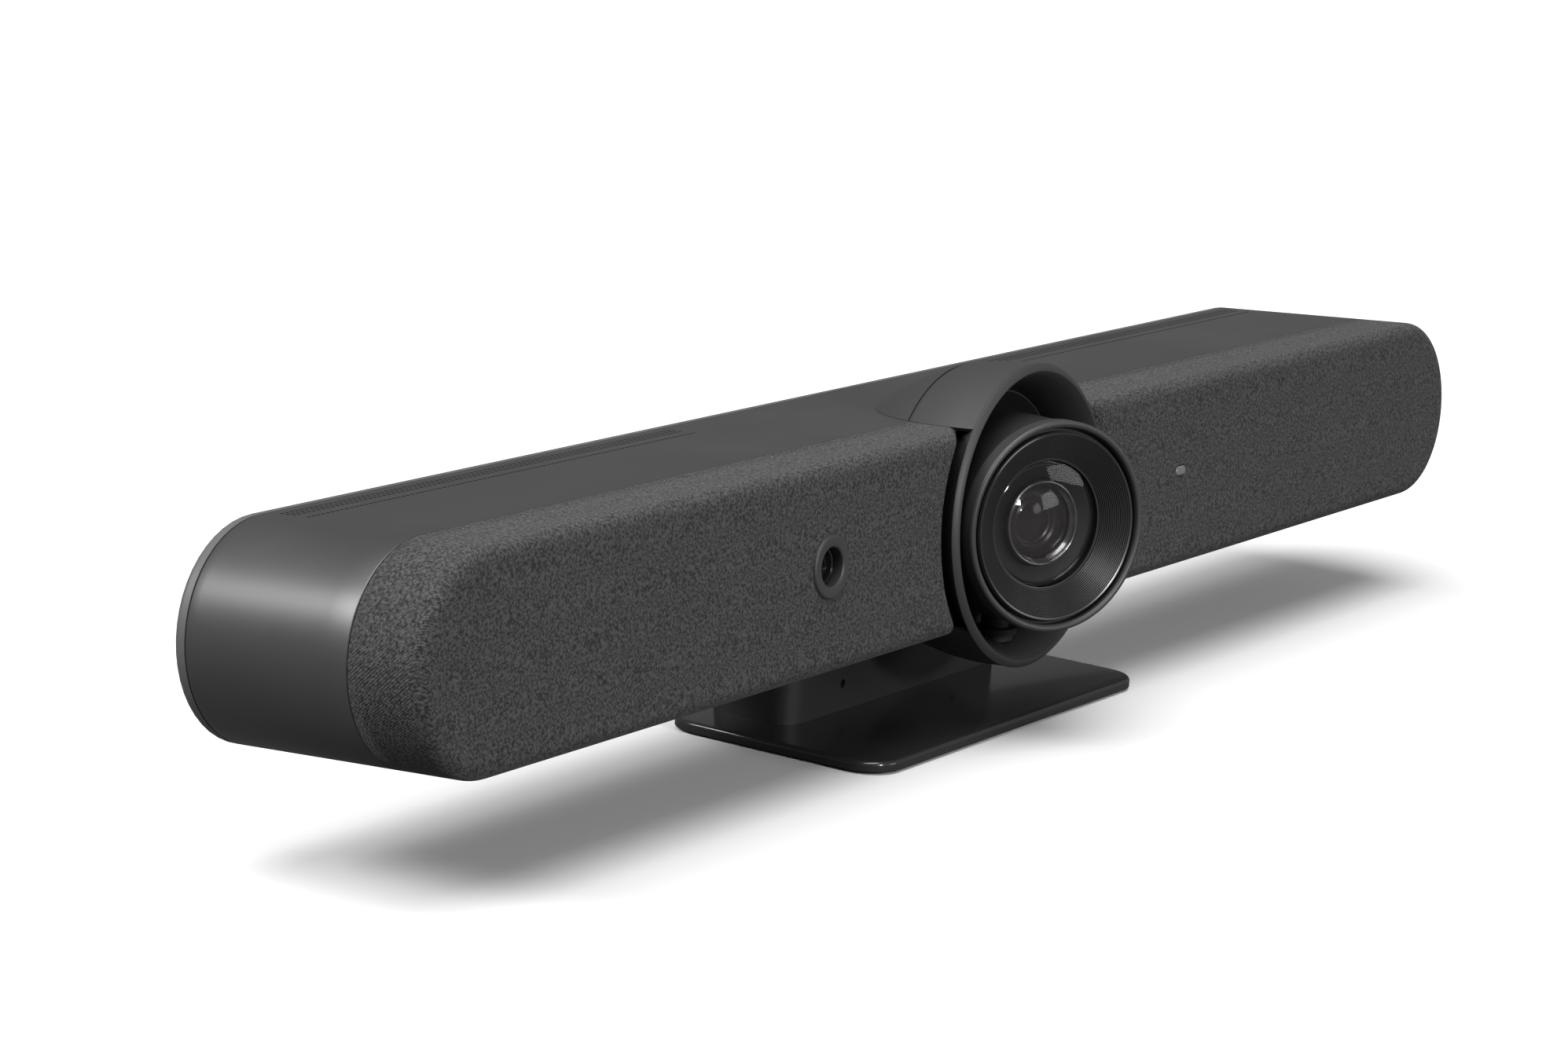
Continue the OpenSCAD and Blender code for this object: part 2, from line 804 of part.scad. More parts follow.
module pan_pinion() {
    color(copper) on_stand() translate([0, pan_motor_y, pan_gear_z]) {
        linear_extrude(gear_t)
            rotate(pinion_mesh_turn) gear_outline(pinion_teeth, gear_module);
        cylinder(h = pan_top - pan_gear_z + pan_motor_h - 2 * cut, r = pinion_shaft_r, $fn = fn_small);
    }
}
// Angle of the pan gear's nearest tooth from the line of centres, and the pinion's turn that meets it
pan_step = 360 / pan_teeth;
pan_tooth_turn = pan_rest + round(-pan_rest / pan_step) * pan_step;
pinion_mesh_turn = -90 + 180 / pinion_teeth - pan_tooth_turn * pan_teeth / pinion_teeth;

// Pan turret: the post that turns on the pan base and carries the head's tilt axle

post_r = 5;
tilt_boss_r = 5.4;
tilt_boss_w = 14;
shaft_end_gap = 0.8;
arm_h = 8;
arm_w = 12;

module pan_turret() {
    post_low = pan_top - axis_z + gear_gap;
    shaft_low = pan_gear_z - axis_z - shaft_end_gap;
    color(bare_metal) at_pan() difference() {
        union() {
            translate([0, 0, shaft_low])
                cylinder(h = post_low - shaft_low + cut, r = pan_shaft_r, $fn = fn_mid);
            translate([0, 0, post_low]) cylinder(h = -post_low, r = post_r, $fn = fn_mid);
            translate([-tilt_boss_w, 0, 0]) to_right()
                cylinder(h = 2 * tilt_boss_w, r = tilt_boss_r, $fn = fn_mid);
            translate([-arm_w / 2, 0, -arm_h / 2]) cube([arm_w, tilt_centres - motor_side / 2, arm_h]);
        }
        translate([-tilt_boss_w - cut, 0, 0])
            to_right() cylinder(h = 2 * (tilt_boss_w + cut), r = axle_r + running_gap, $fn = fn_mid);
    }
}

// Part of a gear: a hub and the teeth on one side of it
module gear_sector(teeth, m, half_angle, hub_r) {
    reach = teeth * m;
    intersection() {
        gear_outline(teeth, m);
        union() {
            circle(hub_r, $fn = fn_mid);
            polygon([
                [0, 0],
                [reach * cos(half_angle), -reach * sin(half_angle)],
                [reach * cos(half_angle), reach * sin(half_angle)]
            ]);
        }
    }
}
pan_hub_r = 6.5;
pan_sector_angle = 36;

module pan_gear() {
    color(copper) on_stand() translate([0, pivot_y, pan_gear_z])
        difference() {
            linear_extrude(gear_t)
                rotate(pan_rest + 90) gear_sector(pan_teeth, gear_module, pan_sector_angle, pan_hub_r);
            translate([0, 0, -cut])
                cylinder(h = gear_t + 2 * cut, r = pan_shaft_r + running_gap, $fn = fn_mid);
        }
}

// Tilt axle: the pin through the turret that the head's casing swings on

axle_end_gap = 1.6;
axle_half = head_r - head_wall - axle_end_gap;

module tilt_axle() {
    color(bare_metal) at_pan()
        translate([-axle_half, 0, 0]) to_right() cylinder(h = 2 * axle_half, r = axle_r, $fn = fn_mid);
}

// Tilt motor on the turret's arm, and the pinion that it turns

tilt_gear_r = tilt_teeth * gear_module / 2;
tilt_centres = tilt_gear_r + pinion_r;
motor_side = 14;
motor_from = -10;
motor_to = 15;
tilt_gear_x = 18;

module tilt_motor() {
    color(bare_metal) at_pan() difference() {
        translate([motor_from, tilt_centres - motor_side / 2, -motor_side / 2])
            cube([motor_to - motor_from, motor_side, motor_side]);
        translate([motor_from + 2 * cut, tilt_centres, 0])
            to_right()
                cylinder(h = motor_to - motor_from, r = pinion_shaft_r + running_gap, $fn = fn_small);
    }
}

module tilt_pinion() {
    shaft_from = motor_from + motor_side / 2;
    color(copper) at_pan() translate([0, tilt_centres, 0]) {
        translate([tilt_gear_x, 0, 0]) to_right()
            linear_extrude(gear_t)
                rotate(-90 + 180 / pinion_teeth) gear_outline(pinion_teeth, gear_module);
        translate([shaft_from, 0, 0])
            to_right() cylinder(h = tilt_gear_x + gear_t - shaft_from, r = pinion_shaft_r, $fn = fn_small);
    }
}

tilt_hub_r = 6;
tilt_sector_angle = 34;

module tilt_gear() {
    color(copper) at_pan() translate([tilt_gear_x, 0, 0]) to_right()
        difference() {
            linear_extrude(gear_t)
                rotate(90) gear_sector(tilt_teeth, gear_module, tilt_sector_angle, tilt_hub_r);
            translate([0, 0, -cut])
                cylinder(h = gear_t + 2 * cut, r = axle_r + running_gap, $fn = fn_mid);
        }
}

// Head casing: a drum with a round back, split behind the axle

ring_d = 6.4;
casing_front = ring_reach - ring_d;
casing_split = -8;
slot_gap = 1.4;
slot_r = post_r + slot_gap;
slot_half = head_r * tan(tilt_reach) + post_r / cos(tilt_reach) + seat_gap;
slot_top = sqrt(pow(head_r - head_wall, 2) - slot_half * slot_half - slot_r * slot_r);
boss_from = tilt_gear_x + gear_t;
axle_boss_r = 6;

// Outline of the closed casing, radius over distance from the pivot, set in by a wall
module casing_profile(wall) {
    square([head_r - wall, casing_front]);
    intersection() {
        circle(head_r - wall, $fn = fn_large);
        translate([0, -head_r]) square([head_r, head_r + cut]);
    }
}

module casing_shell() {
    rotate_extrude($fn = fn_large) difference() {
        casing_profile(0);
        casing_profile(head_wall);
        translate([0, casing_front - cut]) square([head_r - head_wall, 2 * cut]);
    }
}

// Slot in the casing's underside that the turret's post swings in, cut through the round back too
module post_slot() {
    translate([0, -slot_top, 0]) rotate([90, 0, 0])
        linear_extrude(head_r + cut - slot_top) {
            square([2 * slot_r, 2 * (slot_half - slot_r)], center = true);
            for (end = [-1, 1])
                translate([0, end * (slot_half - slot_r)]) circle(slot_r, $fn = fn_small);
        }
}

module head_casing() {
    boss_to = head_r - head_wall;
    color(matte_black) on_lens_axis() difference() {
        union() {
            intersection() {
                casing_shell();
                translate([-head_r - cut, -head_r - cut, casing_split])
                    cube([2 * (head_r + cut), 2 * (head_r + cut), ring_reach - casing_split]);
            }
            for (side = [-1, 1])
                translate([side * (boss_from + boss_to) / 2, 0, 0])
                    to_right()
                        cylinder(h = boss_to - boss_from, r = axle_boss_r, center = true, $fn = fn_mid);
        }
        translate([-axle_half - axle_end_gap / 2, 0, 0])
            to_right() cylinder(h = 2 * axle_half + axle_end_gap, r = axle_r + running_gap, $fn = fn_mid);
        post_slot();
    }
}

module head_back() {
    color(matte_black) on_lens_axis() difference() {
        intersection() {
            casing_shell();
            translate([-head_r - cut, -head_r - cut, -head_r - cut])
                cube([2 * (head_r + cut), 2 * (head_r + cut), head_r + cut + casing_split - seam_gap]);
        }
        post_slot();
    }
}

// Front ring with the dark groove inside its rim

rim_w = 2.5;
rim_round = 0.8;
groove_w = 1.4;
groove_d = 3.5;
ring_inner_r = ring_r - rim_w - groove_w;

module lens_ring() {
    front = ring_reach;
    color(graphite) on_lens_axis() rotate_extrude($fn = fn_large)
        polygon([
            [ring_inner_r, casing_front],
            [head_r, casing_front],
            [ring_r, casing_front + ring_r - head_r],
            [ring_r, front - rim_round],
            [ring_r - rim_round, front],
            [ring_r - rim_w + rim_round, front],
            [ring_r - rim_w, front - rim_round],
            [ring_r - rim_w, front - groove_d],
            [ring_inner_r, front - groove_d]
        ]);
}

// Lens hood: a shallow cone of fine steps that leads in to the window

hood_top = ring_reach - 1.2 * rim_round;
hood_drop = 6.4;
hood_wall = 1.6;
hood_rim = 1.1;
hood_r = ring_inner_r - seat_gap / 2;
hood_flat = 1.3;
window_t = 1.2;
window_front = hood_top - hood_drop;

module lens_hood() {
    step_w = (hood_r - hood_rim - window_r - hood_flat) / hood_steps;
    step_h = hood_drop / hood_steps;
    color(graphite_light) on_lens_axis() rotate_extrude($fn = fn_large)
        polygon(concat(
            [[hood_r, casing_front + seat_gap], [hood_r, hood_top]],
            [for (i = [0 : hood_steps - 1], half = [0, 1])
                [hood_r - hood_rim - (i + half * step_flat_share) * step_w,
                    hood_top - (i + half) * step_h]],
            [[window_r - hood_flat, window_front],
             [window_r - hood_flat, window_front - hood_wall / 2],
             [window_r + seat_gap / 2, window_front - hood_wall / 2],
             [window_r + seat_gap / 2, window_front - hood_wall - window_t],
             [window_r + hood_wall, window_front - hood_wall - window_t]]
        ));
}
step_flat_share = 0.55;

module window_glass() {
    color(glass_blue) on_lens_axis()
        translate([0, 0, window_front - hood_wall / 2 - window_t])
            cylinder(h = window_t, r = window_r, $fn = fn_mid);
}

// Lens carrier, barrel, glasses and sensor

carrier_t = 2.5;
carrier_at = 16;
shroud_r = window_r - 1.6 * hood_flat;
barrel_back = 12.6;
barrel_front = window_front - hood_wall / 2 - window_t - seat_gap;
lens_glass_r = 12.4;
lens_dome_r = 18;
rear_glass_r = 7.4;
sensor_side = 23;
sensor_t = 1.6;
sensor_chip = 11;

module lens_carrier() {
    top = barrel_front - seat_gap;
    color(matte_black) on_lens_axis() rotate_extrude($fn = fn_large)
        polygon([
            [lens_r + seat_gap / 2, carrier_at],
            [head_r - head_wall - seat_gap / 2, carrier_at],
            [head_r - head_wall - seat_gap / 2, carrier_at + carrier_t],
            [shroud_r + carrier_t / 2, carrier_at + carrier_t],
            [shroud_r + carrier_t / 2, top],
            [shroud_r, top],
            [lens_r + seat_gap / 2, top - shroud_drop]
        ]);
}
shroud_drop = 3;

module lens_barrel() {
    color(gloss_black) on_lens_axis() rotate_extrude($fn = fn_mid)
        polygon([
            [rear_glass_r + seat_gap / 2, barrel_back],
            [lens_r, barrel_back],
            [lens_r, barrel_front - rim_round],
            [lens_r - rim_round, barrel_front],
            [lens_glass_r + seat_gap / 2, barrel_front - rim_round],
            [lens_glass_r + seat_gap / 2, barrel_front - lens_seat],
            [lens_glass_r - lens_step, barrel_front - lens_seat],
            [rear_glass_r + seat_gap / 2, barrel_back + rear_seat]
        ]);
}
lens_seat = 6.6;
lens_step = 1.5;
rear_seat = 5;

// Dome of glass that stands on z = 0
module glass_dome(r, dome_r, edge) {
    drop = sqrt(dome_r * dome_r - r * r);
    intersection() {
        cylinder(h = dome_r, r = r, $fn = fn_mid);
        translate([0, 0, edge - drop]) sphere(dome_r, $fn = fn_mid);
    }
}

module front_lens() {
    color(glass_blue) on_lens_axis()
        translate([0, 0, barrel_front - lens_seat]) glass_dome(lens_glass_r, lens_dome_r, lens_edge);
}
lens_edge = 1;

module rear_lens() {
    color(glass_blue) on_lens_axis()
        translate([0, 0, barrel_back + sensor_t])
            cylinder(h = rear_seat - sensor_t, r = rear_glass_r, $fn = fn_mid);
}

module sensor_board() {
    color(board_green) on_lens_axis() {
        translate([-sensor_side / 2, -sensor_side / 2, barrel_back - sensor_t])
            cube([sensor_side, sensor_side, sensor_t]);
        translate([-sensor_chip / 2, -sensor_chip / 2, barrel_back])
            cube([sensor_chip, sensor_chip, sensor_t / 2]);
    }
}

// Speakers

basket_t = 1.6;
basket_back_r = 13;
basket_flange_t = 2;
cone_t = 0.9;
surround_r = 2.4;
cap_r = 8;
cone_d = 11;
basket_windows = 6;
window_w = 8;

module speaker_basket(side) {
    mid_r = driver_hole_r - seat_gap;
    color(matte_black) on_stand() translate([side * speaker_x, seat_gap, axis_z]) to_back() difference() {
        rotate_extrude($fn = fn_mid)
            polygon([
                [speaker_r, -basket_flange_t],
                [speaker_r, 0],
                [mid_r, 0],
                [mid_r, baffle_t],
                [basket_back_r, basket_d],
                [0, basket_d],
                [0, basket_d - basket_t],
                [basket_back_r - basket_t, basket_d - basket_t],
                [mid_r - basket_t, baffle_t],
                [mid_r - basket_t, -basket_flange_t]
            ]);
        for (i = [0 : basket_windows - 1])
            rotate(i * 360 / basket_windows)
                translate([basket_back_r + basket_t, -window_w / 2, baffle_t + basket_t])
                    cube([speaker_r, window_w, basket_d - baffle_t - 3 * basket_t]);
    }
}

module speaker_cone(side) {
    out_r = driver_hole_r - seat_gap - basket_t - seat_gap;
    color(gloss_black) on_stand() translate([side * speaker_x, seat_gap, axis_z]) to_back()
        rotate_extrude($fn = fn_mid) {
            polygon([
                [out_r - 2 * surround_r, 0],
                [out_r - 2 * surround_r + cone_t, cone_t],
                [cap_r, cone_d],
                [0, cone_d],
                [0, cone_d - cone_t],
                [cap_r - cone_t, cone_d - cone_t]
            ]);
            difference() {
                translate([out_r - surround_r, 0]) circle(surround_r, $fn = fn_small);
                translate([out_r - surround_r, 0]) circle(surround_r - cone_t, $fn = fn_small);
                translate([0, cone_t]) square([speaker_r, surround_r]);
            }
        }
}

module speaker_magnet(side) {
    color(bare_metal) on_stand()
        translate([side * speaker_x, seat_gap + basket_d, axis_z])
            to_back() {
                cylinder(h = magnet_d, r = magnet_r, $fn = fn_mid);
                cylinder(h = magnet_d + basket_t, r = magnet_r / 2, $fn = fn_mid);
            }
}

module speaker_basket_left() { speaker_basket(-1); }
module speaker_basket_right() { speaker_basket(1); }
module speaker_cone_left() { speaker_cone(-1); }
module speaker_cone_right() { speaker_cone(1); }
module speaker_magnet_left() { speaker_magnet(-1); }
module speaker_magnet_right() { speaker_magnet(1); }

// Viewfinder: a ring in the fabric, with a small camera behind it

finder_brim = 1.6;
finder_body_r = finder_r - finder_brim;
finder_proud = 1.5;
finder_taper = 2.6;
finder_d = 8;
finder_barrel_r = 5.2;
finder_lens_r = 3.9;
finder_dome_share = 1.3;

module viewfinder_ring() {
    front = -fabric_d - finder_proud;
    color(matte_black) on_stand() translate([-finder_x, 0, front_z - axis_z]) round_arch()
        polygon([
            [finder_hole_r, front],
            [finder_r - finder_proud / 2, front],
            [finder_r, front + finder_proud / 2],
            [finder_r, -fabric_d - cloth_gap],
            [finder_body_r, -fabric_d - cloth_gap],
            [finder_body_r, -fabric_d + finder_d],
            [finder_barrel_r + seat_gap, -fabric_d + finder_d],
            [finder_barrel_r + seat_gap, front + finder_taper + finder_proud]
        ]);
}

module viewfinder_barrel() {
    front = -fabric_d - finder_proud + finder_taper + finder_proud;
    color(gloss_black) on_stand() translate([-finder_x, 0, front_z - axis_z]) round_arch()
        polygon([
            [finder_lens_r + seat_gap / 2, front],
            [finder_barrel_r, front],
            [finder_barrel_r, seat_gap],
            [0, seat_gap],
            [0, seat_gap - finder_brim],
            [finder_lens_r + seat_gap / 2, seat_gap - finder_brim]
        ]);
}

module viewfinder_lens() {
    back = -fabric_d + finder_d;
    color(glass_blue) on_stand() translate([-finder_x, back, front_z])
        to_front() glass_dome(finder_lens_r, finder_dome_share * finder_lens_r, finder_d / 4);
}

// Status light: a light pipe from the baffle to the cloth
light_proud = 0.3;

module status_light() {
    color([0.85, 0.88, 0.90]) on_stand() translate([light_x, -fabric_d - light_proud, front_z])
        to_back() linear_extrude(fabric_d + light_proud + seat_gap) pill_outline(light_w, light_h);
}

// Microphone boards: three microphones on each, in front of the baffle

mic_from = 72;
mic_gap = 10.5;
mic_to = speaker_x - speaker_r - mic_gap;
mic_h = 7;
mic_edge = 10.1;
mic_z = bar_h - mic_edge - mic_h / 2;
mic_spread_share = 0.4;
mic_t = 1.6;
mic_can = [4.6, 3.6, 1.2];

module microphone_board(side) {
    mid = side * (mic_from + mic_to) / 2;
    length = mic_to - mic_from;
    color(board_green) on_stand() translate([mid, seat_gap, mic_z]) {
        translate([-length / 2, -mic_t, -mic_h / 2]) cube([length, mic_t, mic_h]);
        for (i = [-1, 0, 1])
            translate([i * length * mic_spread_share - mic_can.x / 2, -mic_t - mic_can.z, -mic_can.y / 2])
                cube([mic_can.x, mic_can.z, mic_can.y]);
    }
}

module microphone_board_left() { microphone_board(-1); }
module microphone_board_right() { microphone_board(1); }

// Main board, heat sink and power board

fin_count = 14;
fin_t = 1.4;
sink_w = 84;
sink_h = board_h - 2 * post_edge;
sink_t = 2.4;
sink_d = 8;
power_gap = 70;
power_x = power_gap - speaker_x;
power_y = 32;
power_w = 66;
power_d = 46;
power_boss_x = 28;
power_boss_y = 18;

module main_board() {
    color(board_green) on_stand() difference() {
        translate([-board_w / 2, board_y, board_z - board_h / 2]) cube([board_w, board_t, board_h]);
        for (sx = [-1, 1], sz = [-1, 1])
            translate([sx * post_x, board_y - cut, board_z + sz * post_z])
                to_back() cylinder(h = board_t + 2 * cut, r = boss_hole_r, $fn = fn_small);
    }
}

module heat_sink() {
    fin_step = (sink_w - fin_t) / (fin_count - 1);
    color(bare_metal) on_stand() translate([-sink_w / 2, board_y - sink_d, board_z - sink_h / 2]) {
        translate([0, sink_d - sink_t, 0]) cube([sink_w, sink_t, sink_h]);
        for (i = [0 : fin_count - 1])
            translate([i * fin_step, 0, 0]) cube([fin_t, sink_d, sink_h]);
    }
}

module power_board() {
    top = housing_wall + board_lift + board_t;
    color(board_green) on_stand() {
        translate([power_x - power_w / 2, power_y - power_d / 2, housing_wall + board_lift])
            cube([power_w, power_d, board_t]);
        translate([power_x - coil_side / 2, power_y - coil_side / 2, top])
            cube([coil_side, coil_side, coil_h]);
        for (i = [-1, 1])
            translate([power_x + i * (power_w / 2 - 2 * can_r), power_y, top])
                cylinder(h = can_h, r = can_r, $fn = fn_small);
    }
}
coil_side = 22;
coil_h = 17;
can_r = 5;
can_h = 21;

// Port plate: the floor of the socket recess, with its side walls

port_y = housing_d - recess_d;
port_t = 1.8;
port_wall = 1.4;
port_front = port_y - port_t;

// Places of the sockets across the recess, as their distance from the middle
video_x = [-30, -8, 14];
usb_x = [36, 54];
network_x = -56;
power_in_x = -76;
video_hole = [14.2, 4.7];
usb_hole = [13.2, 5.8];
network_hole = [12, 8.4];
jack_wall = 0.7;

// Flat outline of a socket's mouth, standing in the XZ plane and grown by a gap
module mouth(at, hole, gap) {
    translate([at - hole.x / 2 - gap, 0, recess_z - hole.y / 2 - gap])
        cube([hole.x + 2 * gap, port_t + 2 * cut, hole.y + 2 * gap]);
}

module port_plate() {
    out_w = recess_w - 2 * seat_gap;
    out_h = recess_h - 2 * seat_gap;
    color(matte_black) on_stand() difference() {
        translate([-out_w / 2, port_front, recess_z - out_h / 2])
            cube([out_w, cover_y + cover_band / 2 - port_front, out_h]);
        translate([-out_w / 2 + port_wall, port_y, recess_z - out_h / 2 + port_wall])
            cube([out_w - 2 * port_wall, recess_d, out_h - 2 * port_wall]);
        for (x = video_x) translate([0, port_front - cut, 0]) mouth(x, video_hole, jack_wall + seat_gap);
        for (x = usb_x) translate([0, port_front - cut, 0]) mouth(x, usb_hole, jack_wall + seat_gap);
        translate([0, port_front - cut, 0]) mouth(network_x, network_hole, jack_wall + seat_gap);
        translate([power_in_x, port_front - cut, recess_z])
            to_back() cylinder(h = port_t + 2 * cut, r = inlet_r + inlet_wall + seat_gap, $fn = fn_small);
    }
}

// One socket: a shell from the main board to the recess, with a tongue inside where it has one
module socket_shell(at, hole, depth, tongue_t) {
    length = port_y - board_y - board_t;
    translate([at, board_y + board_t, recess_z]) {
        difference() {
            translate([-hole.x / 2 - jack_wall, 0, -hole.y / 2 - jack_wall])
                cube([hole.x + 2 * jack_wall, length, hole.y + 2 * jack_wall]);
            translate([-hole.x / 2, length - depth, -hole.y / 2])
                cube([hole.x, depth + cut, hole.y]);
        }
        if (tongue_t > 0)
            translate([-hole.x * tongue_share / 2, length - depth - cut / 2, hole.y / 2 - 2 * tongue_t])
                cube([hole.x * tongue_share, depth - tongue_t + cut / 2, tongue_t]);
    }
}
tongue_share = 0.8;
video_depth = 11;
usb_depth = 11;
network_depth = 12;
usb_tongue = 1.5;

module video_jacks() {
    color(bare_metal) on_stand() for (x = video_x) socket_shell(x, video_hole, video_depth, 0);
}

module usb_jacks() {
    color(bare_metal) on_stand() for (x = usb_x) socket_shell(x, usb_hole, usb_depth, usb_tongue);
}

module network_jack() {
    color(matte_black) on_stand() socket_shell(network_x, network_hole, network_depth, 0);
}

inlet_r = 3.3;
inlet_wall = 1.4;
inlet_depth = 10;
inlet_pin_r = 0.6;

module power_inlet() {
    length = port_y - board_y - board_t;
    color(matte_black) on_stand() translate([power_in_x, board_y + board_t, recess_z]) to_back() {
        difference() {
            cylinder(h = length, r = inlet_r + inlet_wall, $fn = fn_mid);
            translate([0, 0, length - inlet_depth])
                cylinder(h = inlet_depth + cut, r = inlet_r, $fn = fn_mid);
        }
        cylinder(h = length - 2 * jack_wall, r = inlet_pin_r, $fn = fn_small);
    }
}

// Pairing button in the rear cover, pressed forwards into the bar

button_proud = 0.8;
button_stem = 5;
button_brim = 1;

module pairing_button() {
    color(gloss_black) on_stand() translate([button_x, 0, button_z]) round_button();
}

module round_button() {
    translate([0, cover_y - button_stem, 0]) to_back() {
        translate([0, 0, button_stem])
            cylinder(h = cover_band + button_proud, r = button_r, $fn = fn_small);
        translate([0, 0, button_stem - seat_gap - button_brim])
            cylinder(h = button_brim, r = button_r + button_brim, $fn = fn_small);
        cylinder(h = button_stem + cut, r = button_r / 2, $fn = fn_small);
    }
}

// Stand: a bevelled plate on a rubber mat, and the neck that carries the bar

mat_t = 2;
mat_proud = 0.8;
mat_edge = 6;
plate_z = mat_proud;
plate_top = plate_z + plate_t;
neck_front = 24;
neck_d = 36;
neck_corner = 8;
neck_screw_x = 56;
neck_screw_y = neck_front + neck_d / 2;
neck_screw_r = 2.5;
neck_screw_head_r = 4.2;
neck_screw_head_t = 2.6;
neck_screw_len = 18;
neck_pilot_x = 40;
neck_pilot_z = 10;
neck_pilot_r = 1.6;
neck_pilot_d = 5;

module stand_plate() {
    straight = plate_t - plate_bevel;
    color(gloss_black) difference() {
        union() {
            translate([0, 0, plate_z]) rounded_plate(plate_w, plate_d, straight, plate_corner);
            for (i = [0 : bevel_steps - 1])
                translate([0, 0, plate_z + straight + i * plate_bevel / bevel_steps])
                    rounded_plate(plate_w - 2 * bevel_inset(i), plate_d - 2 * bevel_inset(i),
                        plate_bevel / bevel_steps, plate_corner - bevel_inset(i));
        }
        translate([0, 0, plate_z - cut]) mat_block(mat_t - mat_proud + cut, seat_gap);
        for (side = [-1, 1])
            translate([side * neck_screw_x, neck_foot_y, plate_z - cut]) {
                cylinder(h = plate_t + 2 * cut, r = neck_screw_r + seat_gap, $fn = fn_small);
                cylinder(h = neck_screw_head_t + cut, r = neck_screw_head_r + seat_gap, $fn = fn_small);
            }
    }
}
bevel_steps = 4;
function bevel_inset(i) = plate_bevel * (1 - cos(90 * (i + 1) / bevel_steps));

// Where the neck's screws come out on the plate
neck_foot_y = plate_lead - plate_d / 2 + neck_screw_y;

// Block of the mat's outline, grown by a gap
module mat_block(t, gap) {
    inset = mat_edge - gap;
    rounded_plate(plate_w - 2 * inset, plate_d - 2 * inset, t, plate_corner - inset);
}

// Rubber mat that lies on the table, with holes that leave the neck's screws free
module stand_mat() {
    color(matte_black) difference() {
        mat_block(mat_t, 0);
        for (side = [-1, 1])
            translate([side * neck_screw_x, neck_foot_y, -cut])
                cylinder(h = mat_t + 2 * cut, r = neck_screw_head_r + 2 * seat_gap, $fn = fn_small);
    }
}

module stand_neck() {
    neck_y = plate_lead - plate_d / 2 + neck_front + neck_d / 2;
    color(matte_black) difference() {
        translate([0, neck_y, plate_top]) rounded_plate(neck_w, neck_d, bar_lift, neck_corner);
        on_stand() translate([-bar_w / 2, -bar_h, 0]) cube([bar_w, 2 * housing_d + bar_h, 2 * bar_h]);
        on_stand() round_arch() arch_profile(seat_gap);
        for (side = [-1, 1]) {
            translate([side * neck_screw_x, neck_foot_y, plate_top - cut])
                cylinder(h = neck_screw_len + cut, r = neck_screw_r + seat_gap / 2, $fn = fn_small);
            on_stand() translate([side * neck_screw_x, neck_screw_y, -neck_screw_len])
                cylinder(h = neck_screw_len + cut, r = neck_screw_r + seat_gap / 2, $fn = fn_small);
            translate([side * neck_pilot_x, neck_y - neck_d / 2 - cut, plate_top + neck_pilot_z])
                to_back() cylinder(h = neck_pilot_d + cut, r = neck_pilot_r, $fn = fn_small);
        }
    }
}

// Two screws up through the plate, and two down through the bar's bottom into the neck
module stand_screws() {
    color(bare_metal) {
        for (side = [-1, 1])
            translate([side * neck_screw_x, neck_foot_y, plate_z + neck_screw_head_t])
                rotate([180, 0, 0])
                    screw(neck_screw_r, plate_t + neck_screw_len / 2, neck_screw_head_r, neck_screw_head_t);
        on_stand()
            for (side = [-1, 1])
                translate([side * neck_screw_x, neck_screw_y, housing_wall])
                    screw(neck_screw_r, housing_wall + neck_screw_len / 2, neck_screw_head_r,
                        neck_screw_head_t);
    }
}

main_housing();
rear_cover();
vent_grille_left();
vent_grille_right();
front_baffle_left();
front_baffle_right();
grille_frame_left();
grille_frame_right();
fabric_left();
fabric_right();
camera_arch();
arch_tail();
camera_cup();
pan_base();
pan_motor();
speaker_basket_left();
speaker_basket_right();
speaker_cone_left();
speaker_cone_right();
speaker_magnet_left();
speaker_magnet_right();
viewfinder_ring();
viewfinder_barrel();
viewfinder_lens();
status_light();
microphone_board_left();
microphone_board_right();
main_board();
heat_sink();
power_board();
port_plate();
video_jacks();
usb_jacks();
network_jack();
power_inlet();
cover_screws();
stand_plate();
stand_neck();
stand_screws();
stand_mat();
pan_turret();
pan_gear();
tilt_axle();
tilt_motor();
head_casing();
head_back();
lens_ring();
lens_hood();
window_glass();
lens_carrier();
lens_barrel();
front_lens();
rear_lens();
sensor_board();
tilt_gear();
pan_pinion();
tilt_pinion();
pairing_button();
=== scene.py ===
"""Looks of the conference camera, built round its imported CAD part.

Lengths are in millimetres until a piece is placed.
"""
import json
import math

import bmesh
import bpy
from mathutils import Matrix, Vector


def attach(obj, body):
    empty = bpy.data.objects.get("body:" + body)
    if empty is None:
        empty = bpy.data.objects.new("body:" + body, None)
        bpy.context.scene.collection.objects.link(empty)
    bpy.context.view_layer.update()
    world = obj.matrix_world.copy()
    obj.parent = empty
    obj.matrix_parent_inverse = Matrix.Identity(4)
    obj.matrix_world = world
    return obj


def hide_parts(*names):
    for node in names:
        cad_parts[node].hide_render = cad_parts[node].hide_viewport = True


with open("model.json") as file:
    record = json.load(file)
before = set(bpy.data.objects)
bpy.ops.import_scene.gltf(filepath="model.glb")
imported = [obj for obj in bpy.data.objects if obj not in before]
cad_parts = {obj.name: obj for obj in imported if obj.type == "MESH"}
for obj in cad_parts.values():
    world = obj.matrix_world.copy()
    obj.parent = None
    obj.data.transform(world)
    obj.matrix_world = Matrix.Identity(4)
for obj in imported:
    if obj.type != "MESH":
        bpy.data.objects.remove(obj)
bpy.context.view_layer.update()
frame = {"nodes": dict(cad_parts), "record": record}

MM = 0.001

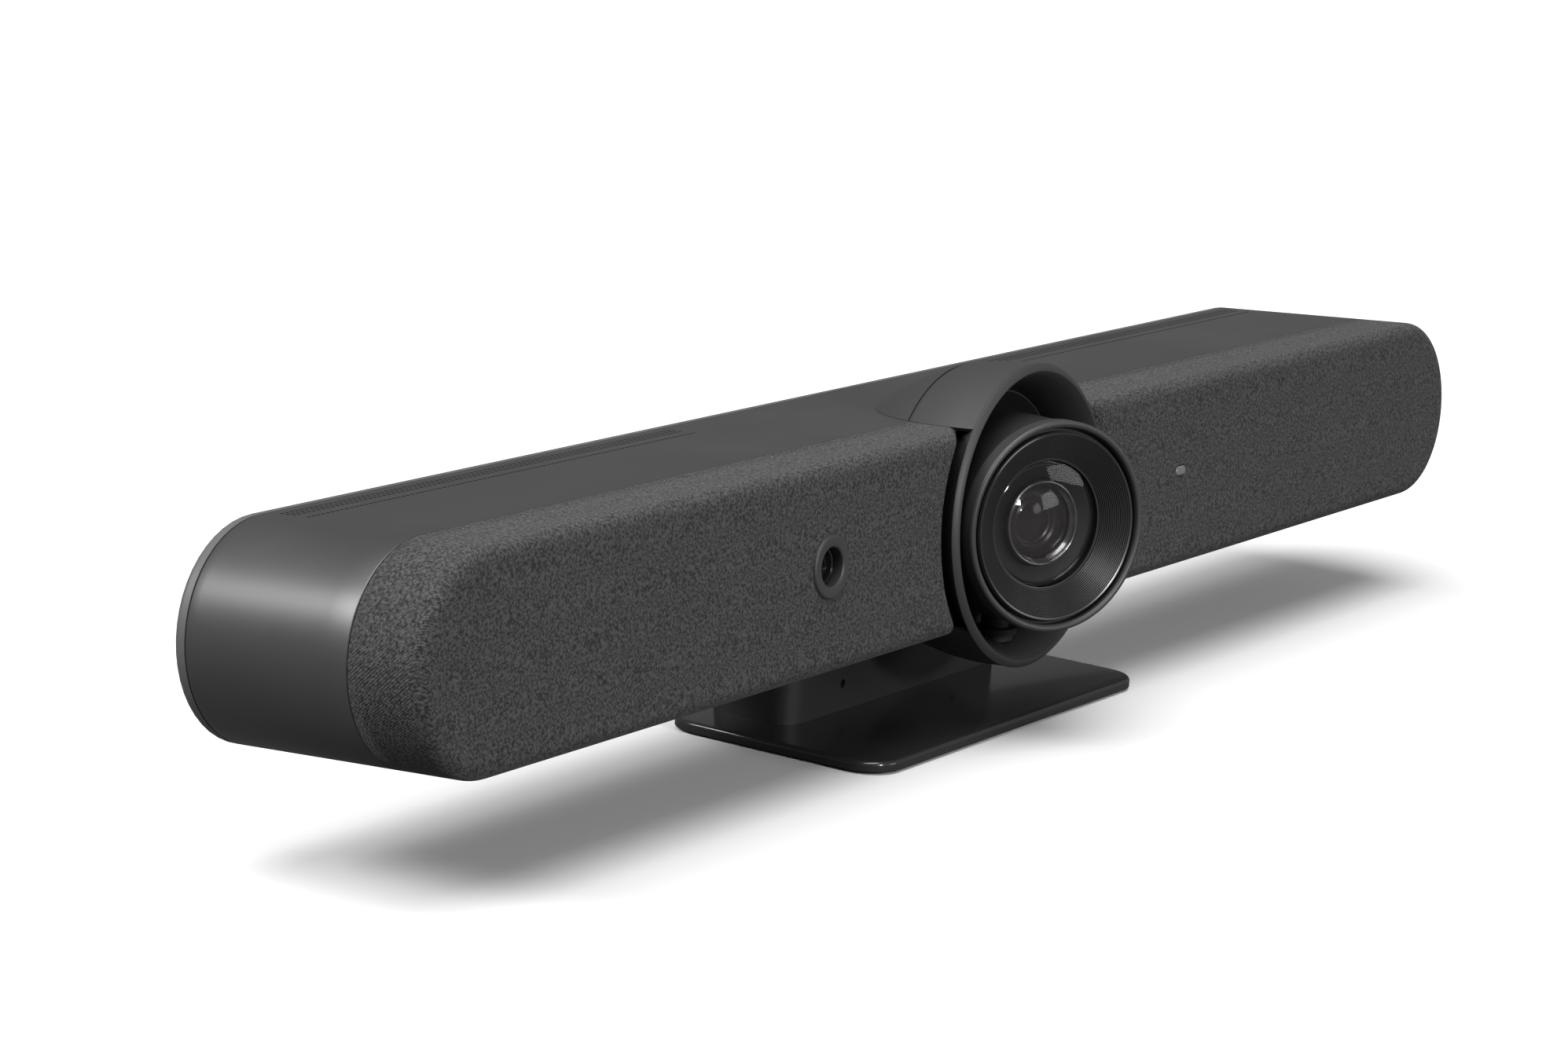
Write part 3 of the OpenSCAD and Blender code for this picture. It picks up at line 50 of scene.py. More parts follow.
# The bar's own frame: y is 0 at the seam between cloth and housing, z is 0 at the bar's bottom
PITCH = math.radians(4.1)
STAND_Y = -19.0
BAR_LIFT = 41.9
BAR_W, BAR_H = 720.0, 72.6
AXIS_Z = BAR_H / 2
END_X = BAR_W / 2 - AXIS_Z
PIVOT_Y = -14.0
PAN = math.radians(-24)

ROW = Matrix.Scale(MM, 4)
BAR = ROW @ Matrix.Translation((0, STAND_Y, BAR_LIFT)) @ Matrix.Rotation(-PITCH, 4, "X")
TO_BACK = Matrix.Rotation(math.radians(-90), 4, "X")
TO_FRONT = Matrix.Rotation(math.radians(90), 4, "X")
ARCH = BAR @ Matrix.Translation((0, 0, AXIS_Z)) @ TO_BACK
LENS = BAR @ Matrix.Translation((0, PIVOT_Y, AXIS_Z)) @ Matrix.Rotation(PAN, 4, "Z") @ TO_FRONT


# Materials

class Num:
    """A number in a material's node tree that can be added, multiplied and compared."""

    def __init__(self, tree, socket):
        self.tree, self.socket = tree, socket

    def math(self, operation, *others):
        node = self.tree.nodes.new("ShaderNodeMath")
        node.operation = operation
        for i, value in enumerate((self,) + others):
            if isinstance(value, Num):
                self.tree.links.new(value.socket, node.inputs[i])
            else:
                node.inputs[i].default_value = value
        return Num(self.tree, node.outputs[0])

    def __add__(self, other):
        return self.math("ADD", other)

    def __sub__(self, other):
        return self.math("SUBTRACT", other)

    def __mul__(self, other):
        return self.math("MULTIPLY", other)

    def between(self, low, high):
        """0 below low, 1 above high and smooth in between."""
        node = self.tree.nodes.new("ShaderNodeMapRange")
        node.interpolation_type = "SMOOTHSTEP"
        self.tree.links.new(self.socket, node.inputs["Value"])
        node.inputs["From Min"].default_value = low
        node.inputs["From Max"].default_value = high
        return Num(self.tree, node.outputs["Result"])


class Finish:
    """A procedural material round one Principled shader."""

    def __init__(self, name, roughness=0.5, metallic=0.0, **constants):
        self.material = bpy.data.materials.new(name)
        self.material.use_nodes = True
        self.tree = self.material.node_tree
        self.shader = self.tree.nodes["Principled BSDF"]
        self.shader.inputs["Roughness"].default_value = roughness
        self.shader.inputs["Metallic"].default_value = metallic
        for key, value in constants.items():
            self.shader.inputs[key.replace("_", " ")].default_value = value
        self.coords = self.tree.nodes.new("ShaderNodeTexCoord").outputs["Object"]

    def place(self, scale):
        """Object coordinates stretched by a scale along each axis."""
        node = self.tree.nodes.new("ShaderNodeMapping")
        self.tree.links.new(self.coords, node.inputs["Vector"])
        node.inputs["Scale"].default_value = scale
        return node.outputs["Vector"]

    def axis(self, letter):
        node = self.tree.nodes.new("ShaderNodeSeparateXYZ")
        self.tree.links.new(self.coords, node.inputs[0])
        return Num(self.tree, node.outputs[letter])

    def noise(self, scale, detail=2.0, stretch=(1, 1, 1)):
        node = self.tree.nodes.new("ShaderNodeTexNoise")
        self.tree.links.new(self.place(stretch), node.inputs["Vector"])
        node.inputs["Scale"].default_value = scale
        node.inputs["Detail"].default_value = detail
        return Num(self.tree, node.outputs[0])

    def cells(self, scale, stretch=(1, 1, 1)):
        node = self.tree.nodes.new("ShaderNodeTexVoronoi")
        self.tree.links.new(self.place(stretch), node.inputs["Vector"])
        node.inputs["Scale"].default_value = scale
        return Num(self.tree, node.outputs["Distance"])

    def blend(self, factor, low, high):
        """Base colour from low to high as the factor goes from 0 to 1."""
        node = self.tree.nodes.new("ShaderNodeMix")
        node.data_type = "RGBA"
        node.clamp_factor = True
        self.tree.links.new(factor.socket, node.inputs["Factor"])
        node.inputs[6].default_value = (*low, 1)
        node.inputs[7].default_value = (*high, 1)
        self.tree.links.new(node.outputs[2], self.shader.inputs["Base Color"])
        return self

    def rough(self, number):
        self.tree.links.new(number.socket, self.shader.inputs["Roughness"])
        return self

    def bump(self, height, distance, strength=1.0):
        node = self.tree.nodes.new("ShaderNodeBump")
        node.inputs["Strength"].default_value = strength
        node.inputs["Distance"].default_value = distance
        self.tree.links.new(height.socket, node.inputs["Height"])
        self.tree.links.new(node.outputs["Normal"], self.shader.inputs["Normal"])
        return self


def grey(value):
    return (value, value, value)


def grained(name, low, high, roughness, grain, depth, metallic=0.0, cloud=14.0, **constants):
    """A moulded or blasted surface: soft clouds in colour and roughness, and a fine grain."""
    finish = Finish(name, roughness, metallic, **constants)
    clouds = finish.noise(cloud, 3.0)
    finish.blend(clouds.between(0.3, 0.7), low, high)
    finish.rough(clouds * 0.08 + (roughness - 0.04))
    return finish.bump(finish.noise(grain, 2.0), depth).material


KNIT_DARK = (0.006, 0.006, 0.0063)
KNIT_LIGHT = (0.084, 0.084, 0.086)
WALE, COURSE = 0.0011, 0.0013


def knitted(name):
    """Heathered knit: threads of two greys, stitches in rows, and fine fibres."""
    finish = Finish(name, 0.92)
    finish.shader.inputs["Sheen Weight"].default_value = 0.05
    finish.shader.inputs["Sheen Roughness"].default_value = 0.5
    threads = finish.noise(1020, 2.0)
    flecks = finish.cells(850)
    clouds = finish.noise(9, 2.0)
    tone = threads.between(0.30, 0.70) * 0.85 + flecks * 0.20 + clouds * 0.08 - 0.09
    finish.blend(tone, KNIT_DARK, KNIT_LIGHT)
    wales = (finish.axis("X") * (2 * math.pi / WALE)).math("SINE")
    courses = ((finish.axis("Z") + finish.axis("Y")) * (2 * math.pi / COURSE)).math("SINE")
    stitches = wales * courses * 0.25 + threads * 0.9
    return finish.bump(stitches, 0.0004, 0.9).material


def coated_glass(name, tint, alpha):
    """Coated glass: partly clear, with a clear reflection and faint smears."""
    finish = Finish(name, 0.02, 0.0, Coat_Weight=1.0, Coat_Roughness=0.02, Specular_IOR_Level=0.9)
    finish.shader.inputs["Alpha"].default_value = alpha
    smears = finish.noise(120, 3.0)
    finish.blend(smears, tint, tuple(c * 1.3 for c in tint))
    return finish.rough(smears * 0.04 + 0.01).material


def board(name):
    """Circuit board: solder mask with lighter tracks."""
    finish = Finish(name, 0.35)
    tracks = finish.noise(160, 1.0, (1, 1, 4)).between(0.52, 0.56)
    return finish.blend(tracks, (0.01, 0.05, 0.03), (0.03, 0.12, 0.07)).bump(tracks, 0.00005).material


def turned(name, colour, roughness):
    """Machined or drawn metal: fine lines along one direction."""
    finish = Finish(name, roughness, 1.0)
    lines = finish.noise(60, 2.0, (1, 30, 30))
    finish.blend(lines, tuple(c * 0.86 for c in colour), colour)
    return finish.rough(lines * 0.12 + (roughness - 0.06)).bump(lines, 0.00002).material


# Depths in metres over which the arch funnel's painted shade deepens
FUNNEL_SHADE_FROM, FUNNEL_SHADE_TO = -0.0280, -0.0165


def painted_funnel_shade(name, light, dark, roughness):
    """Moulded black with painted shade: darker from the arch's lip to the bottom of its funnel, where shade
    falls.
    """
    finish = Finish(name, roughness)
    depth = (finish.axis("Y") * math.cos(PITCH) - finish.axis("Z") * math.sin(PITCH)
             + MM * (BAR_LIFT * math.sin(PITCH) - STAND_Y * math.cos(PITCH)))
    finish.blend(depth.between(FUNNEL_SHADE_FROM, FUNNEL_SHADE_TO) + (finish.noise(14, 3.0) - 0.5) * 0.05, light, dark)
    return finish.bump(finish.noise(2200, 2.0), 0.00003).material


SATIN = grained("satin_graphite", grey(0.100), grey(0.114), 0.40, 2600, 0.000012, 0.65)
COVER = grained("cover_graphite", grey(0.105), grey(0.125), 0.46, 2400, 0.00003)
KNIT = knitted("heathered_knit")
INNER = grained("inner_black", grey(0.012), grey(0.018), 0.6, 1500, 0.00003)
ARCH_BLACK = grained("arch_plastic", grey(0.040), grey(0.047), 0.46, 2200, 0.00003)
# Arch funnel: painted shade that darkens its black towards the bottom of the funnel
FUNNEL_PAINTED_SHADE = painted_funnel_shade("funnel_plastic_painted_shade", grey(0.040), grey(0.006), 0.48)
# Painted shade: a darker copy of the arch's black for the inside of the cup
CUP_PAINTED_SHADE = grained("cup_plastic_painted_shade", grey(0.007), grey(0.010), 0.7, 2200, 0.00003)
HEAD_BLACK = grained("head_plastic", grey(0.022), grey(0.027), 0.42, 2200, 0.00003)
RING_BLACK = grained("ring_plastic", grey(0.042), grey(0.050), 0.38, 2600, 0.00002)
HOOD_BLACK = grained("hood_plastic", grey(0.062), grey(0.072), 0.26, 2600, 0.000004, 0.6)
RIM = grained("lens_rim", grey(0.34), grey(0.40), 0.18, 2600, 0.000004, 0.9)
BLACK_GLOSS = grained("gloss_black", grey(0.008), grey(0.011), 0.14, 900, 0.00001)
STAND_BLACK = grained("stand_coat", grey(0.026), grey(0.032), 0.22, 1800, 0.000012, Coat_Weight=0.5,
                      Coat_Roughness=0.08)
RUBBER = grained("pad_rubber", grey(0.012), grey(0.020), 0.8, 1200, 0.00005)
CONE = grained("cone_paper", grey(0.020), grey(0.032), 0.8, 900, 0.00006)
LIGHT = grained("light_pipe", grey(0.17), grey(0.20), 0.35, 1500, 0.00001)
BOARD = board("solder_mask")
STEEL = turned("plated_steel", (0.55, 0.55, 0.56), 0.32)
BARE = turned("machined_aluminium", (0.60, 0.61, 0.62), 0.36)
BRASS = turned("gear_brass", (0.60, 0.43, 0.20), 0.30)
WINDOW = coated_glass("window_glass", (0.02, 0.02, 0.022), 0.16)
LENS_GLASS = coated_glass("lens_glass", (0.060, 0.044, 0.050), 0.42)
DEEP_GLASS = coated_glass("deep_glass", (0.016, 0.010, 0.013), 0.9)

BY_SLOT = {
    "housing": SATIN, "cover": COVER, "cloth": KNIT, "inner_black": INNER, "matte_black": ARCH_BLACK,
    "head_shell": HEAD_BLACK, "stand": STAND_BLACK, "mat": RUBBER, "gloss_black": BLACK_GLOSS,
    "lens_glass": DEEP_GLASS, "light": LIGHT, "cone": CONE, "steel": STEEL, "bare_metal": BARE,
    "gears": BRASS, "board": BOARD,
}
# The cup and the pan drive inside it take the cup's painted shade
BY_NODE = {"camera_cup": CUP_PAINTED_SHADE, "lens_carrier": INNER, "stand_neck": INNER, "cover_screws": INNER}
BY_NODE.update({name: CUP_PAINTED_SHADE for name in ("pan_base", "pan_turret", "pan_gear", "pan_pinion", "pan_motor")})

for part in frame["record"]["subparts"]:
    node = frame["nodes"][part["node"]]
    node.data.materials.clear()
    node.data.materials.append(BY_NODE.get(part["node"], BY_SLOT[part["material_slot"]]))


# Mesh helpers

def finish_piece(name, bm, matrix, body, material, replaced=(), sharp=32):
    """Turns a bmesh in millimetres into a placed, shaded piece that rides on a body."""
    bmesh.ops.remove_doubles(bm, verts=bm.verts, dist=0.0005)
    bmesh.ops.dissolve_degenerate(bm, edges=bm.edges, dist=0.0002)
    bmesh.ops.recalc_face_normals(bm, faces=bm.faces)
    bm.transform(matrix)
    mesh = bpy.data.meshes.new(name)
    bm.to_mesh(mesh)
    bm.free()
    mesh.shade_smooth()
    mesh.set_sharp_from_angle(angle=math.radians(sharp))
    mesh.materials.append(material)
    piece = bpy.data.objects.new(name, mesh)
    bpy.context.scene.collection.objects.link(piece)
    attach(piece, body)
    if replaced:
        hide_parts(*replaced)
    return piece


def arc(cx, cy, r, start, end, steps=6):
    """Points of an arc, angles in degrees."""
    return [(cx + r * math.cos(math.radians(start + (end - start) * i / steps)),
             cy + r * math.sin(math.radians(start + (end - start) * i / steps))) for i in range(steps + 1)]


def revolve(bm, profile, steps=160, closed=True):
    """Spins a profile of (radius, height) points round Z."""
    verts = [bm.verts.new((max(r, 0.0), 0, h)) for r, h in profile]
    ends = list(zip(verts, verts[1:] + (verts[:1] if closed else [])))
    edges = [bm.edges.new(pair) for pair in ends if pair[0] is not pair[1]]
    bmesh.ops.spin(bm, geom=verts + edges, cent=(0, 0, 0), axis=(0, 0, 1), angle=2 * math.pi, steps=steps,
                   use_merge=True)
    bmesh.ops.remove_doubles(bm, verts=bm.verts, dist=0.0005)


def lathe(name, profile, matrix, body, material, replaced=(), steps=160, closed=True, sharp=32):
    bm = bmesh.new()
    revolve(bm, profile, steps, closed)
    return finish_piece(name, bm, matrix, body, material, replaced, sharp)


def net(bm, rows, close_rows=False, close_columns=False, skip=None):
    """Quads between rows of points. skip(i, j) leaves a face out."""
    grid = [[bm.verts.new(p) for p in row] for row in rows]
    m, n = len(grid), len(grid[0])
    for i in range(m if close_rows else m - 1):
        for j in range(n if close_columns else n - 1):
            if skip and skip(i, j):
                continue
            a, b = grid[i][j], grid[i][(j + 1) % n]
            c, d = grid[(i + 1) % m][(j + 1) % n], grid[(i + 1) % m][j]
            bm.faces.new((a, b, c, d))
    return grid


def spread(start, end, steps):
    return [start + (end - start) * i / steps for i in range(steps + 1)]


def bulge(radius, rise, base, radii):
    """Profile of a lens face that rises from its base at the radius to its middle."""
    return [(r, base + rise * (1 - (r / radius) ** 2)) for r in radii]


# Bar housing

VENT_NEAR, VENT_FAR = 105.0, 320.0
VENT_COUNT = 90
HOLE_ROWS = (47.4, 53.1, 55.5, 57.9)
HOLE_CELL = 2.4
HOLE_R = 0.82
VENT_Y0, VENT_Y1 = HOLE_ROWS[0] - HOLE_CELL / 2, HOLE_ROWS[-1] + HOLE_CELL / 2
HOUSING_BACK = 62.6
WALL = 3.0
PART_GAP = 0.3
EDGE_R = 0.5
VENT_T = 1.8
OPEN_X, OPEN_Y = 30.0, 10.0


def pill_path(straight_stops, end_steps=48):
    """Spine points and outward directions round the bar's pill outline."""
    path = [(x, 0.0, 1.0) for x in straight_stops]
    path += [(END_X, math.sin(a), math.cos(a)) for a in spread(0, math.pi, end_steps)[1:-1]]
    path += [(x, 0.0, -1.0) for x in reversed(straight_stops)]
    path += [(-END_X, -math.sin(a), math.cos(a)) for a in reversed(spread(0, math.pi, end_steps)[1:-1])]
    return path


def housing_shell():
    """Sleeve of the housing, open under the vents, and under the arch where the head turns."""
    stops = sorted(spread(-END_X, END_X, 24) + [s * x for s in (-1, 1) for x in (OPEN_X, VENT_NEAR, VENT_FAR)])
    path = pill_path(stops)
    edge = [(EDGE_R * (1 - math.cos(a)), EDGE_R * (1 - math.sin(a))) for a in spread(0, math.pi / 2, 4)]
    rows = [(PART_GAP, WALL)] + [(PART_GAP + dy, inset) for dy, inset in edge]
    rows += [(OPEN_Y, 0), (VENT_Y0, 0), (VENT_Y1, 0)]
    rows += [(HOUSING_BACK - dy, inset) for dy, inset in reversed(edge)]
    rows += [(HOUSING_BACK, WALL), (OPEN_Y, WALL)]
    points = [[(sx + (AXIS_Z - inset) * nx, y, AXIS_Z + (AXIS_Z - inset) * nz) for sx, nx, nz in path]
              for y, inset in rows]
    vent_row = next(i for i, row in enumerate(rows) if row == (VENT_Y0, 0))

    def skip(i, j):
        if j + 1 >= len(path):
            return False
        (x0, _, up), (x1, _, up1) = path[j], path[j + 1]
        mid = abs(x0 + x1) / 2
        if rows[i][0] <= OPEN_Y and rows[(i + 1) % len(rows)][0] <= OPEN_Y:
            return up == up1 and mid < OPEN_X
        return i == vent_row and up == 1 and up1 == 1 and VENT_NEAR < mid < VENT_FAR

    bm = bmesh.new()
    net(bm, points, close_rows=True, close_columns=True, skip=skip)
    finish_piece("housing_shell", bm, BAR, "bar", SATIN, ["main_housing"])


def vent_strip(side, name, replaced):
    """Flush strip of the housing's top with its rows of small round holes, whose floors and deeper walls are
    painted near-black as painted shade.
    """
    bm = bmesh.new()
    pitch = (VENT_FAR - VENT_NEAR) / VENT_COUNT
    half = HOLE_CELL / 2

    def patch(x0, x1, y0, y1):
        bm.faces.new([bm.verts.new((x, y, BAR_H)) for x, y in ((x0, y0), (x1, y0), (x1, y1), (x0, y1))])

    def hole_cell(cx, cy):
        corners = ((1, 0), (1, 1), (0, 1), (-1, 1), (-1, 0), (-1, -1), (0, -1), (1, -1))
        square = [(pitch / 2 * u, half * v) for u, v in corners]
        turns = [2 * math.pi * k / len(corners) for k in range(len(corners))]
        rim = [(HOLE_R * math.cos(turn), HOLE_R * math.sin(turn)) for turn in turns]
        rings = [[(cx + x, cy + y, BAR_H) for x, y in square]]
        rings += [[(cx + x, cy + y, z) for x, y in rim] for z in (BAR_H, BAR_H - VENT_T)]
        before = set(bm.faces)
        grid = net(bm, rings, close_columns=True)
        bm.faces.new(grid[-1])
        # Painted shade: the floor and the deeper half of each hole's wall take inner black
        for face in set(bm.faces) - before:
            if min(v.co.z for v in face.verts) < BAR_H - VENT_T / 2:
                face.material_index = 1

    for row in HOLE_ROWS:
        for i in range(VENT_COUNT):
            hole_cell(side * (VENT_NEAR + pitch * (i + 0.5)), row)
    for i in range(VENT_COUNT):
        x0, x1 = side * (VENT_NEAR + pitch * i), side * (VENT_NEAR + pitch * (i + 1))
        patch(min(x0, x1), max(x0, x1), HOLE_ROWS[0] + half, HOLE_ROWS[1] - half)
    strip = finish_piece(name, bm, BAR, "bar", SATIN, [replaced])
    # Second material: inner black, the painted shade in the holes
    strip.data.materials.append(INNER)


housing_shell()
vent_strip(-1, "vent_strip_left", "vent_grille_left")
vent_strip(1, "vent_strip_right", "vent_grille_right")


# Cloth

CLOTH_D = 27.2
CLOTH_ROUND = 5.2
CLOTH_T = 0.9
CUT_R = 49.5
DISH_W, DISH_D = 13.0, 8.6
# Mean distance from the middle at which a half of the cloth begins
# Reach round a fitting's hole in which the cloth's net is refined, and in which its rim is drawn in
NEAR_HOLE, RIM_REACH = 9.0, 4.0
# Depth at which the dip sets in, and the depth in which it grows to its full size
DIP_FROM, DIP_FADE = 5.0, 12.0


def dip(x, z):
    """How far the cloth falls back round the arch."""
    r = math.hypot(x, z - AXIS_Z)
    t = min(max((CUT_R + DISH_W - r) / DISH_W, 0.0), 1.0)
    return DISH_D * (t * t * (3 - 2 * t) if t < 0.5 else t)


def cloth_half(side, name, replaced, hole):
    """Cloth stretched over one half of the front: wrapped over its edges and cut round the arch."""
    profile = [(AXIS_Z, y) for y in (-0.1, -6, -12, -17)]
    profile += [(AXIS_Z - CLOTH_ROUND + u, -CLOTH_D + CLOTH_ROUND + v) for u, v in
                reversed(arc(0, 0, CLOTH_ROUND, -90, 0, 8))]
    profile += [(d, -CLOTH_D) for d in spread(AXIS_Z - CLOTH_ROUND, 0.0, 16)[1:]]
    share = [0.0, 0.004, 0.010, 0.017, 0.025, 0.034, 0.044, 0.055, 0.067, 0.08] + spread(0.10, 1.0, 30)
    columns = []
    for sign in (1, -1):
        stops = share if sign == 1 else list(reversed(share))
        for s in stops:
            column = []
            for d, y in profile:
                start = math.sqrt(CUT_R ** 2 - d * d)
                x = start + s * (END_X - start)
                z = AXIS_Z + sign * d
                fade = min(max(-y - DIP_FROM, 0) / DIP_FADE, 1)
                column.append((side * x, y + dip(x, z) * fade, z))
            columns.append(column)
        if sign == 1:
            for a in spread(0, math.pi, 40)[1:-1]:
                columns.append([(side * (END_X + d * math.sin(a)), y, AXIS_Z + d * math.cos(a))
                                for d, y in profile])
    bm = bmesh.new()
    net(bm, columns)
    bmesh.ops.remove_doubles(bm, verts=bm.verts, dist=0.001)
    cut_hole(bm, *hole)
    cloth = finish_piece(name, bm, BAR, "bar", KNIT, [replaced], sharp=60)
    turned_out(cloth)
    solid = cloth.modifiers.new("thickness", "SOLIDIFY")
    solid.thickness = CLOTH_T * MM
    solid.offset = -1


def turned_out(piece):
    """Makes the cloth's normals point out of the front."""
    total = sum((p.normal * p.area for p in piece.data.polygons), Vector())
    if total.y > 0:
        piece.data.flip_normals()


def cut_hole(bm, cx, cz, rx, rz):
    """Removes the cloth over a fitting, and draws the hole's rim into its outline."""
    flat_y = -CLOTH_D + 0.01

    def about(point, margin):
        return point.y < flat_y and abs(point.x - cx) < rx + margin and abs(point.z - cz) < rz + margin

    near = [f for f in bm.faces if all(about(v.co, NEAR_HOLE) for v in f.verts)]
    bmesh.ops.subdivide_edges(bm, edges=list({e for f in near for e in f.edges}), cuts=3, use_grid_fill=True)
    middles = [(f, f.calc_center_median()) for f in bm.faces]
    inside = [f for f, at in middles
              if at.y < flat_y and ((at.x - cx) / rx) ** 2 + ((at.z - cz) / rz) ** 2 < 1]
    bmesh.ops.delete(bm, geom=inside, context="FACES")
    for v in bm.verts:
        if v.is_boundary and about(v.co, RIM_REACH):
            u, w = (v.co.x - cx) / rx, (v.co.z - cz) / rz
            length = math.hypot(u, w)
            v.co.x, v.co.z = cx + rx * u / length, cz + rz * w / length


FINDER_X, LIGHT_X, FRONT_Z = 134.0, 117.0, 37.4
FINDER_HOLE, LIGHT_HOLE = (10.4, 10.4), (4.1, 2.1)
cloth_half(-1, "cloth_left", "fabric_left", (-FINDER_X, FRONT_Z, *FINDER_HOLE))
cloth_half(1, "cloth_right", "fabric_right", (LIGHT_X, FRONT_Z, *LIGHT_HOLE))


# Arch

HUMP_R, HUMP_FROM, HUMP_ARC = 55.0, -20.0, 85.0
HUMP_WALL = 1.9
HUMP_END = 33.3
HUMP_PROUD = 0.15
HUMP_EASE = 0.35
SEAM_Y, SEAM_HALF = 1.55, 0.15
LIP = 27.6


def hump_at(y):
    return HUMP_R - HUMP_ARC + math.sqrt(HUMP_ARC ** 2 - max(y - HUMP_FROM, 0) ** 2)


def hump(name, y0, y1, replaced, eased=False):
    """The arch over and under the bar, as shells that run out flush with the bar.

    An eased shell has a softened edge at its back.
    """
    bm = bmesh.new()
    floor = AXIS_Z + HUMP_PROUD
    steps = 40
    for up in (1, -1):
        layers = []
        for inward in (0.0, HUMP_WALL):
            rows = []
            for y in spread(y0, y1, 26):
                r = hump_at(y) - (max(HUMP_EASE - (y1 - y), 0) if eased else 0)
                half = math.acos(min(floor / r, 1.0))
                rows.append([((r - inward) * math.sin(a), y, AXIS_Z + up * ((r - inward) * math.cos(a)))
                             for a in spread(-half, half, steps)])
            layers.append(rows)
        outer, inner = layers
        grid_a = net(bm, outer)
        grid_b = net(bm, inner)
        for i in range(len(grid_a) - 1):
            for j in (0, steps):
                bm.faces.new((grid_a[i][j], grid_a[i + 1][j], grid_b[i + 1][j], grid_b[i][j]))
        for i in (0, len(grid_a) - 1):
            for j in range(steps):
                bm.faces.new((grid_a[i][j], grid_a[i][j + 1], grid_b[i][j + 1], grid_b[i][j]))
    finish_piece(name, bm, BAR, "bar", ARCH_BLACK, replaced)


def arch_ring():
    """Waist beside the cloth, sharp outer lip, rounded crest and the funnel that the head turns in."""
    profile = [(49.2, PIVOT_Y + PART_GAP), (49.2, -18.9), (49.45, -20.4), (50.6, -22.6), (52.6, -25.0)]
    profile += [(54.6, -27.0), (55.1, -27.5), (55.2, -27.75), (55.0, -28.0), (54.4, -28.6), (53.7, -29.1)]
    profile += [(53.0, -29.45), (52.4, -29.45), (51.9, -29.0), (50.3, -25.7), (48.6, -21.7), (46.7, -17.9)]
    profile += [(44.4, PIVOT_Y), (44.38, PIVOT_Y + PART_GAP)]
    # The funnel's material carries painted shade that darkens towards the head
    lathe("arch_ring", profile, ARCH, "bar", FUNNEL_PAINTED_SHADE, ["camera_arch"], steps=192)


arch_ring()
hump("arch_front", -LIP, SEAM_Y - SEAM_HALF, [], eased=True)
hump("arch_tail_shell", SEAM_Y + SEAM_HALF, HUMP_END, ["arch_tail"])


# Head

RING_FRONT = 37.3
HOOD_RINGS = 17
HOOD_GROOVE = 0.32


